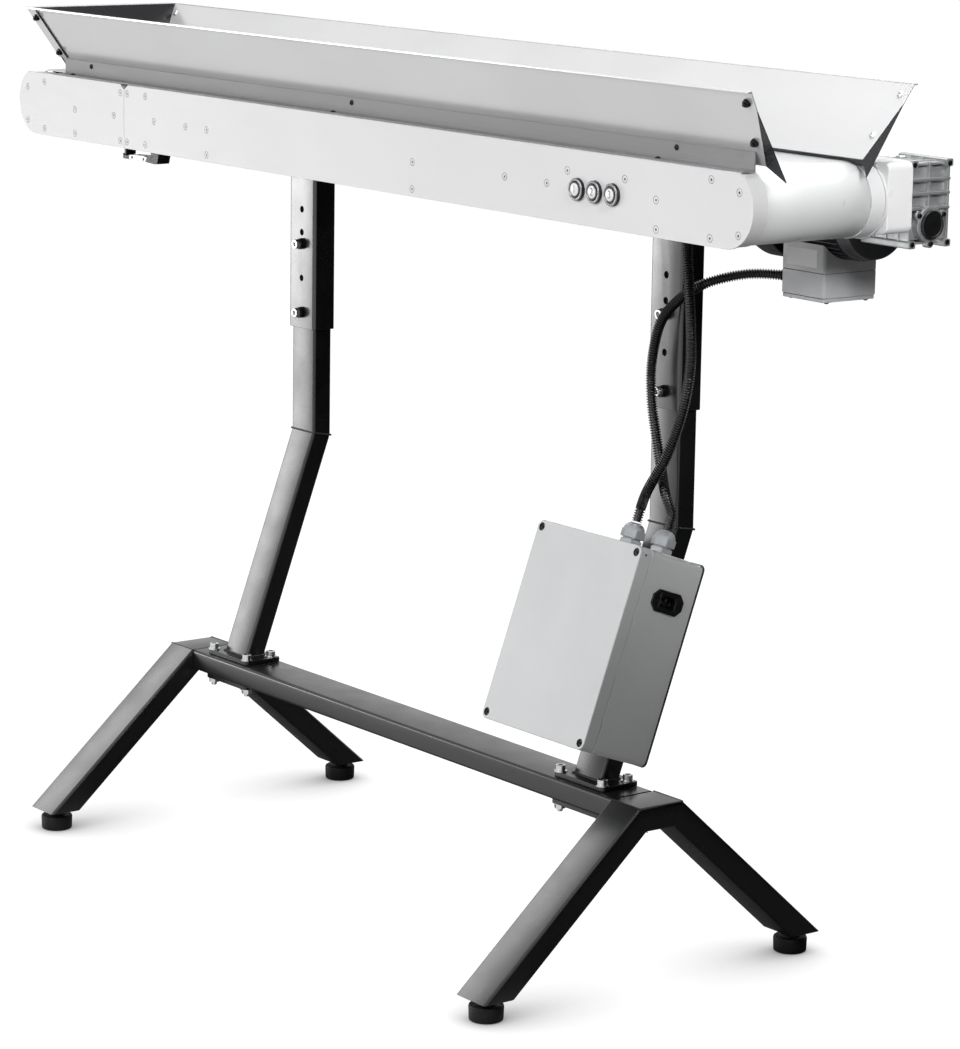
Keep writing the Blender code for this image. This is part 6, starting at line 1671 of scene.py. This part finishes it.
    def terminal_box(self):
        low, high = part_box("terminal_box")
        lid_low, lid_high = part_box("terminal_box_lid")
        centre = (low + high) / 2
        half = ((high.x - low.x) / 2, (high.y - low.y) / 2)
        bm = bmesh.new()
        add_prism(bm, outline_rounded(*half, 4 * MM, 6, centre.xy), "Z", low.z + 0.2 * MM, high.z + 12 * MM)
        body = object_from("terminal_box_body", bm, ("terminal",))
        saddle = bmesh.new()
        add_rod(saddle, low.x - MM, high.x + MM, 55.4 * MM, "X", (0, MOTOR_Y, MOTOR_Z), 96)
        cut_from(body, saddle)
        settled(eased(body, 0.8 * MM, 2), "lift", ["terminal_box"])
        bm = bmesh.new()
        add_prism(bm, outline_rounded(*half, 4 * MM, 6, centre.xy), "Z", lid_low.z + 5 * MM, lid_high.z)
        add_prism(bm, outline_rounded(half[0] - 0.8 * MM, half[1] - 0.8 * MM, 4 * MM, 6, centre.xy), "Z",
            lid_low.z, lid_low.z + 4.6 * MM)
        piece("terminal_box_cover", bm, ("terminal",), "lift", ["terminal_box_lid"], ease=(0.7 * MM, 2))
        spots = [((centre.x + sx * 31 * MM, centre.y + sy * 31 * MM, lid_low.z), (0, 0, -1))
            for sx in (-1, 1) for sy in (-1, 1)]
        fastened("terminal_lid_screws", spots, domed_head(3.6 * MM, 2.4 * MM), "black_steel", "lift")
        bm = bmesh.new()
        add_prism(bm, outline_rounded(27 * MM, 10.5 * MM, 0.6 * MM, 3,
            (centre.x - 2 * MM, low.z + 16.5 * MM)), "Y", low.y - 0.25 * MM, low.y + 0.2 * MM)
        piece("terminal_blank_plate", bm, ("plate",), "lift")
        self.terminal_gland()

    def terminal_gland(self):
        low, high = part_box("terminal_gland")
        centre = (low + high) / 2
        box_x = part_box("terminal_box")[0].x
        bm = bmesh.new()
        add_prism(bm, outline_round(11.4 * MM, 6, (centre.y, centre.z), 0.2), "X", box_x - 5 * MM,
            box_x - 0.1 * MM)
        add_prism(bm, outline_round(11.2 * MM, 6, (centre.y, centre.z), 0.5), "X", box_x - 12 * MM,
            box_x - 5.6 * MM)
        add_turned(bm, [(box_x, 0.0), (box_x, 8 * MM), (box_x - 12.5 * MM, 9.6 * MM),
            (box_x - 15.2 * MM, 7.6 * MM), (box_x - 15.2 * MM, 0.0)], "X", (0, centre.y, centre.z), 36)
        piece("terminal_gland_set", bm, ("black",), "lift", ["terminal_gland"],
            ease=(0.6 * MM, 2))


# ---------------------------------------------------------------- stage

CAMERA_SPOT = Vector((3.94411, -2.84750, 1.46512))
CAMERA_YAW, CAMERA_PITCH, CAMERA_ROLL = 0.645444, 0.197693, 0.015702  # radians
CAMERA_LENS = 129.985  # mm on a 36 mm sensor along the picture's long side


# name, place, what it points at, its two sides in metres, and the setting of its power
LAMPS = (
    ("Key", (0.35, -3.4, 2.4), (0.25, 0.0, 0.75), (2.4, 2.0), "key_watts"),
    ("Low Left Panel", (-4.13, -2.29, 0.55), (0.0, 0.0, 0.6), (1.9, 1.1), "panel_watts"),
    ("Top", (0.2, 0.0, 3.4), (0.2, 0.0, 0.9), (3.0, 1.2), "top_watts"),
    ("Drive End", (2.4, -0.4, 1.9), (0.75, 0.1, 0.98), (0.5, 0.5), "right_watts"),
    ("High Left Panel", (-3.7, -1.15, 2.75), (0.0, -0.2, 0.1), (1.5, 2.4), "slope_watts"),
)
DRIVE_END_SPREAD = math.radians(20.0)
CARD_CORNERS = ((0.2, 2.6, 0.0), (3.6, -0.2, 0.0), (3.6, -0.2, 2.2), (0.2, 2.6, 2.2))
FLOOR_HALF, FLOOR_Z = 60.0, -0.2 * MM
FLOOR_GLOW = 0.72  # share of the floor that glows to the rays that show it
CLOTH_EDGE = (-0.3, -0.12)  # where the black cloth fades in along Y


def shown_ray(tree):
    """1 for rays from the camera and for mirror and glass rays, 0 for the rest."""
    path = add_node(tree, "ShaderNodeLightPath")
    both = add_node(tree, "ShaderNodeMath", {0: path.outputs["Is Camera Ray"],
        1: path.outputs["Is Glossy Ray"]}, operation="MAXIMUM")
    return add_node(tree, "ShaderNodeMath", {0: both.outputs[0], 1: path.outputs["Is Transmission Ray"]},
        operation="MAXIMUM").outputs[0]


class CONVEYOR_OT_stage(bpy.types.Operator):
    """Set the floor, the white surround, the soft lights and the camera"""

    bl_idname = "conveyor.stage"
    bl_label = "Stage"

    def execute(self, context):
        settings = context.scene.conveyor_stage
        self.surround(context.scene, settings)
        self.floor()
        lamps = {name: self.lamp(name, *place, getattr(settings, watts)) for name, *place, watts in LAMPS}
        lamps["Drive End"].data.spread = DRIVE_END_SPREAD
        self.only_for(lamps["High Left Panel"], [side + "_trestle_tube" for side in SIDES])
        self.dark_card("dark_card_right", CARD_CORNERS)
        self.camera(context.scene)
        context.scene.view_settings.view_transform = "Standard"
        return {"FINISHED"}

    def surround(self, scene, settings):
        world = bpy.data.worlds.new("Studio White")
        world.use_nodes = True
        tree = world.node_tree
        tree.nodes.clear()
        plain = add_node(tree, "ShaderNodeBackground", {"Color": (1, 1, 1, 1),
            "Strength": settings.surround})
        white = add_node(tree, "ShaderNodeBackground", {"Color": (1, 1, 1, 1), "Strength": 1.0})
        mixed = add_node(tree, "ShaderNodeMixShader", {0: shown_ray(tree), 1: plain.outputs[0],
            2: white.outputs[0]})
        out = add_node(tree, "ShaderNodeOutputWorld", {"Surface": mixed.outputs[0]})
        out.is_active_output = True
        scene.world = world

    def sheet(self, name, corners, material):
        """One flat stage sheet through four corners."""
        bm = bmesh.new()
        bm.faces.new([bm.verts.new(corner) for corner in corners])
        mesh = bpy.data.meshes.new(name)
        bm.to_mesh(mesh)
        bm.free()
        made = bpy.data.objects.new(name, mesh)
        bpy.context.scene.collection.objects.link(made)
        mesh.materials.append(material)
        return made

    def floor(self):
        paper = bpy.data.materials.new("Studio Paper White")
        paper.use_nodes = True
        tree = paper.node_tree
        tree.nodes.clear()
        matte = add_node(tree, "ShaderNodeBsdfDiffuse", {"Color": linear("#9c9c9c")})
        # The glow dims where ambient occlusion finds the object close by: a painted contact shadow under
        # the feet and the stand.
        near = add_node(tree, "ShaderNodeAmbientOcclusion", {"Distance": 0.16})
        painted_shadow_glow = add_node(tree, "ShaderNodeMapRange", {"Value": near.outputs["AO"], "From Min": 0.25,
            "From Max": 0.95, "To Min": 0.3, "To Max": 1.42})
        glow = add_node(tree, "ShaderNodeEmission", {"Color": (1, 1, 1, 1),
            "Strength": self.cloth(tree, painted_shadow_glow.outputs["Result"])})
        share = add_node(tree, "ShaderNodeMath", {0: shown_ray(tree), 1: FLOOR_GLOW}, operation="MULTIPLY")
        mixed = add_node(tree, "ShaderNodeMixShader", {0: share.outputs[0], 1: matte.outputs[0],
            2: glow.outputs[0]})
        add_node(tree, "ShaderNodeOutputMaterial", {"Surface": mixed.outputs[0]})
        corners = [(sx * FLOOR_HALF, sy * FLOOR_HALF, FLOOR_Z)
            for sx, sy in ((-1, -1), (1, -1), (1, 1), (-1, 1))]
        self.sheet("floor", corners, paper)

    def cloth(self, tree, painted_shadow_glow):
        """Mirror rays see a black cloth on the floor behind the front feet: it keeps the end faces deep."""
        place = add_node(tree, "ShaderNodeTexCoord").outputs["Object"]
        along = add_node(tree, "ShaderNodeSeparateXYZ", {"Vector": place}).outputs["Y"]
        edge = add_node(tree, "ShaderNodeMapRange", {"Value": along, "From Min": CLOTH_EDGE[0],
            "From Max": CLOTH_EDGE[1], "To Min": 0.0, "To Max": 0.96})
        mirror = add_node(tree, "ShaderNodeLightPath").outputs["Is Glossy Ray"]
        dark = add_node(tree, "ShaderNodeMath", {0: edge.outputs["Result"], 1: mirror},
            operation="MULTIPLY")
        left = add_node(tree, "ShaderNodeMath", {0: 1.0, 1: dark.outputs[0]}, operation="SUBTRACT")
        return add_node(tree, "ShaderNodeMath", {0: painted_shadow_glow, 1: left.outputs[0]},
            operation="MULTIPLY").outputs[0]

    def dark_card(self, name, corners):
        """A black card that only mirror rays see: it keeps the dark end faces deep."""
        card = bpy.data.materials.new("Black Card")
        card.use_nodes = True
        tree = card.node_tree
        tree.nodes.clear()
        matte = add_node(tree, "ShaderNodeBsdfDiffuse", {"Color": linear("#0a0a0a")})
        add_node(tree, "ShaderNodeOutputMaterial", {"Surface": matte.outputs[0]})
        made = self.sheet(name, corners, card)
        made.visible_camera = False
        made.visible_diffuse = False
        made.visible_shadow = False

    def lamp(self, name, spot, target, size, watts):
        data = bpy.data.lights.new(name, "AREA")
        data.shape = "RECTANGLE"
        data.size, data.size_y = size
        data.energy = watts
        made = bpy.data.objects.new(name, data)
        made.location = spot
        made.rotation_mode = "QUATERNION"
        made.rotation_quaternion = (Vector(target) - Vector(spot)).to_track_quat("-Z", "Y")
        bpy.context.scene.collection.objects.link(made)
        return made

    def only_for(self, lamp, names):
        """The lamp shines on these pieces only, like a narrow strip flagged off the rest."""
        receivers = bpy.data.collections.new(lamp.name + " Receivers")
        for name in names:
            receivers.objects.link(bpy.data.objects[name])
        lamp.light_linking.receiver_collection = receivers

    def camera(self, scene):
        cos_pitch = math.cos(CAMERA_PITCH)
        ahead = Vector((-math.cos(CAMERA_YAW) * cos_pitch, math.sin(CAMERA_YAW) * cos_pitch,
            -math.sin(CAMERA_PITCH)))
        right = ahead.cross(Vector((0, 0, 1))).normalized()
        up = right.cross(ahead)
        turned_right = right * math.cos(CAMERA_ROLL) + up * math.sin(CAMERA_ROLL)
        turned_up = up * math.cos(CAMERA_ROLL) - right * math.sin(CAMERA_ROLL)
        data = bpy.data.cameras.new("Camera")
        data.lens = CAMERA_LENS
        data.sensor_width = 36.0
        data.clip_start, data.clip_end = 0.1, 300.0
        made = bpy.data.objects.new("Camera", data)
        turn = Matrix((turned_right, turned_up, -ahead)).transposed().to_4x4()
        made.matrix_world = Matrix.Translation(CAMERA_SPOT) @ turn
        bpy.context.scene.collection.objects.link(made)
        scene.camera = made


# ---------------------------------------------------------------- add-on

OPERATORS = (
    CONVEYOR_OT_conduits,
    CONVEYOR_OT_stand,
    CONVEYOR_OT_posts,
    CONVEYOR_OT_control_box,
    CONVEYOR_OT_sides,
    CONVEYOR_OT_belt,
    CONVEYOR_OT_buttons,
    CONVEYOR_OT_latch,
    CONVEYOR_OT_hopper,
    CONVEYOR_OT_drive,
    CONVEYOR_OT_stage,
)
SETTINGS = {
    "conveyor_stand": StandSettings,
    "conveyor_side": SideSettings,
    "conveyor_conduit": ConduitSettings,
    "conveyor_drive": DriveSettings,
    "conveyor_stage": StageSettings,
}


class CONVEYOR_PT_panel(bpy.types.Panel):
    """Lists the conveyor's settings and the operators that build it"""

    bl_idname = "CONVEYOR_PT_panel"
    bl_label = "Belt Conveyor"
    bl_space_type = "VIEW_3D"
    bl_region_type = "UI"
    bl_category = "Conveyor"

    def draw(self, context):
        layout = self.layout
        for attribute in SETTINGS:
            group = getattr(context.scene, attribute)
            column = layout.column(align=True)
            for name in group.bl_rna.properties.keys():
                if name not in ("rna_type", "name"):
                    column.prop(group, name)
        for operator in OPERATORS:
            layout.operator(operator.bl_idname)


CLASSES = (*SETTINGS.values(), *OPERATORS, CONVEYOR_PT_panel)


def register():
    for made in CLASSES:
        bpy.utils.register_class(made)
    for attribute, group in SETTINGS.items():
        setattr(bpy.types.Scene, attribute, PointerProperty(type=group))


def unregister():
    for attribute in SETTINGS:
        delattr(bpy.types.Scene, attribute)
    for made in reversed(CLASSES):
        bpy.utils.unregister_class(made)


def run(operator):
    category, name = operator.bl_idname.split(".")
    if getattr(getattr(bpy.ops, category), name)() != {"FINISHED"}:
        raise RuntimeError(f"{operator.bl_label} didn't finish")


def main():
    for name in ("Cube", "Light", "Camera"):
        if name in bpy.data.objects:
            bpy.data.objects.remove(bpy.data.objects[name])
    register()
    for operator in OPERATORS:
        run(operator)


if __name__ == "__main__":
    main()
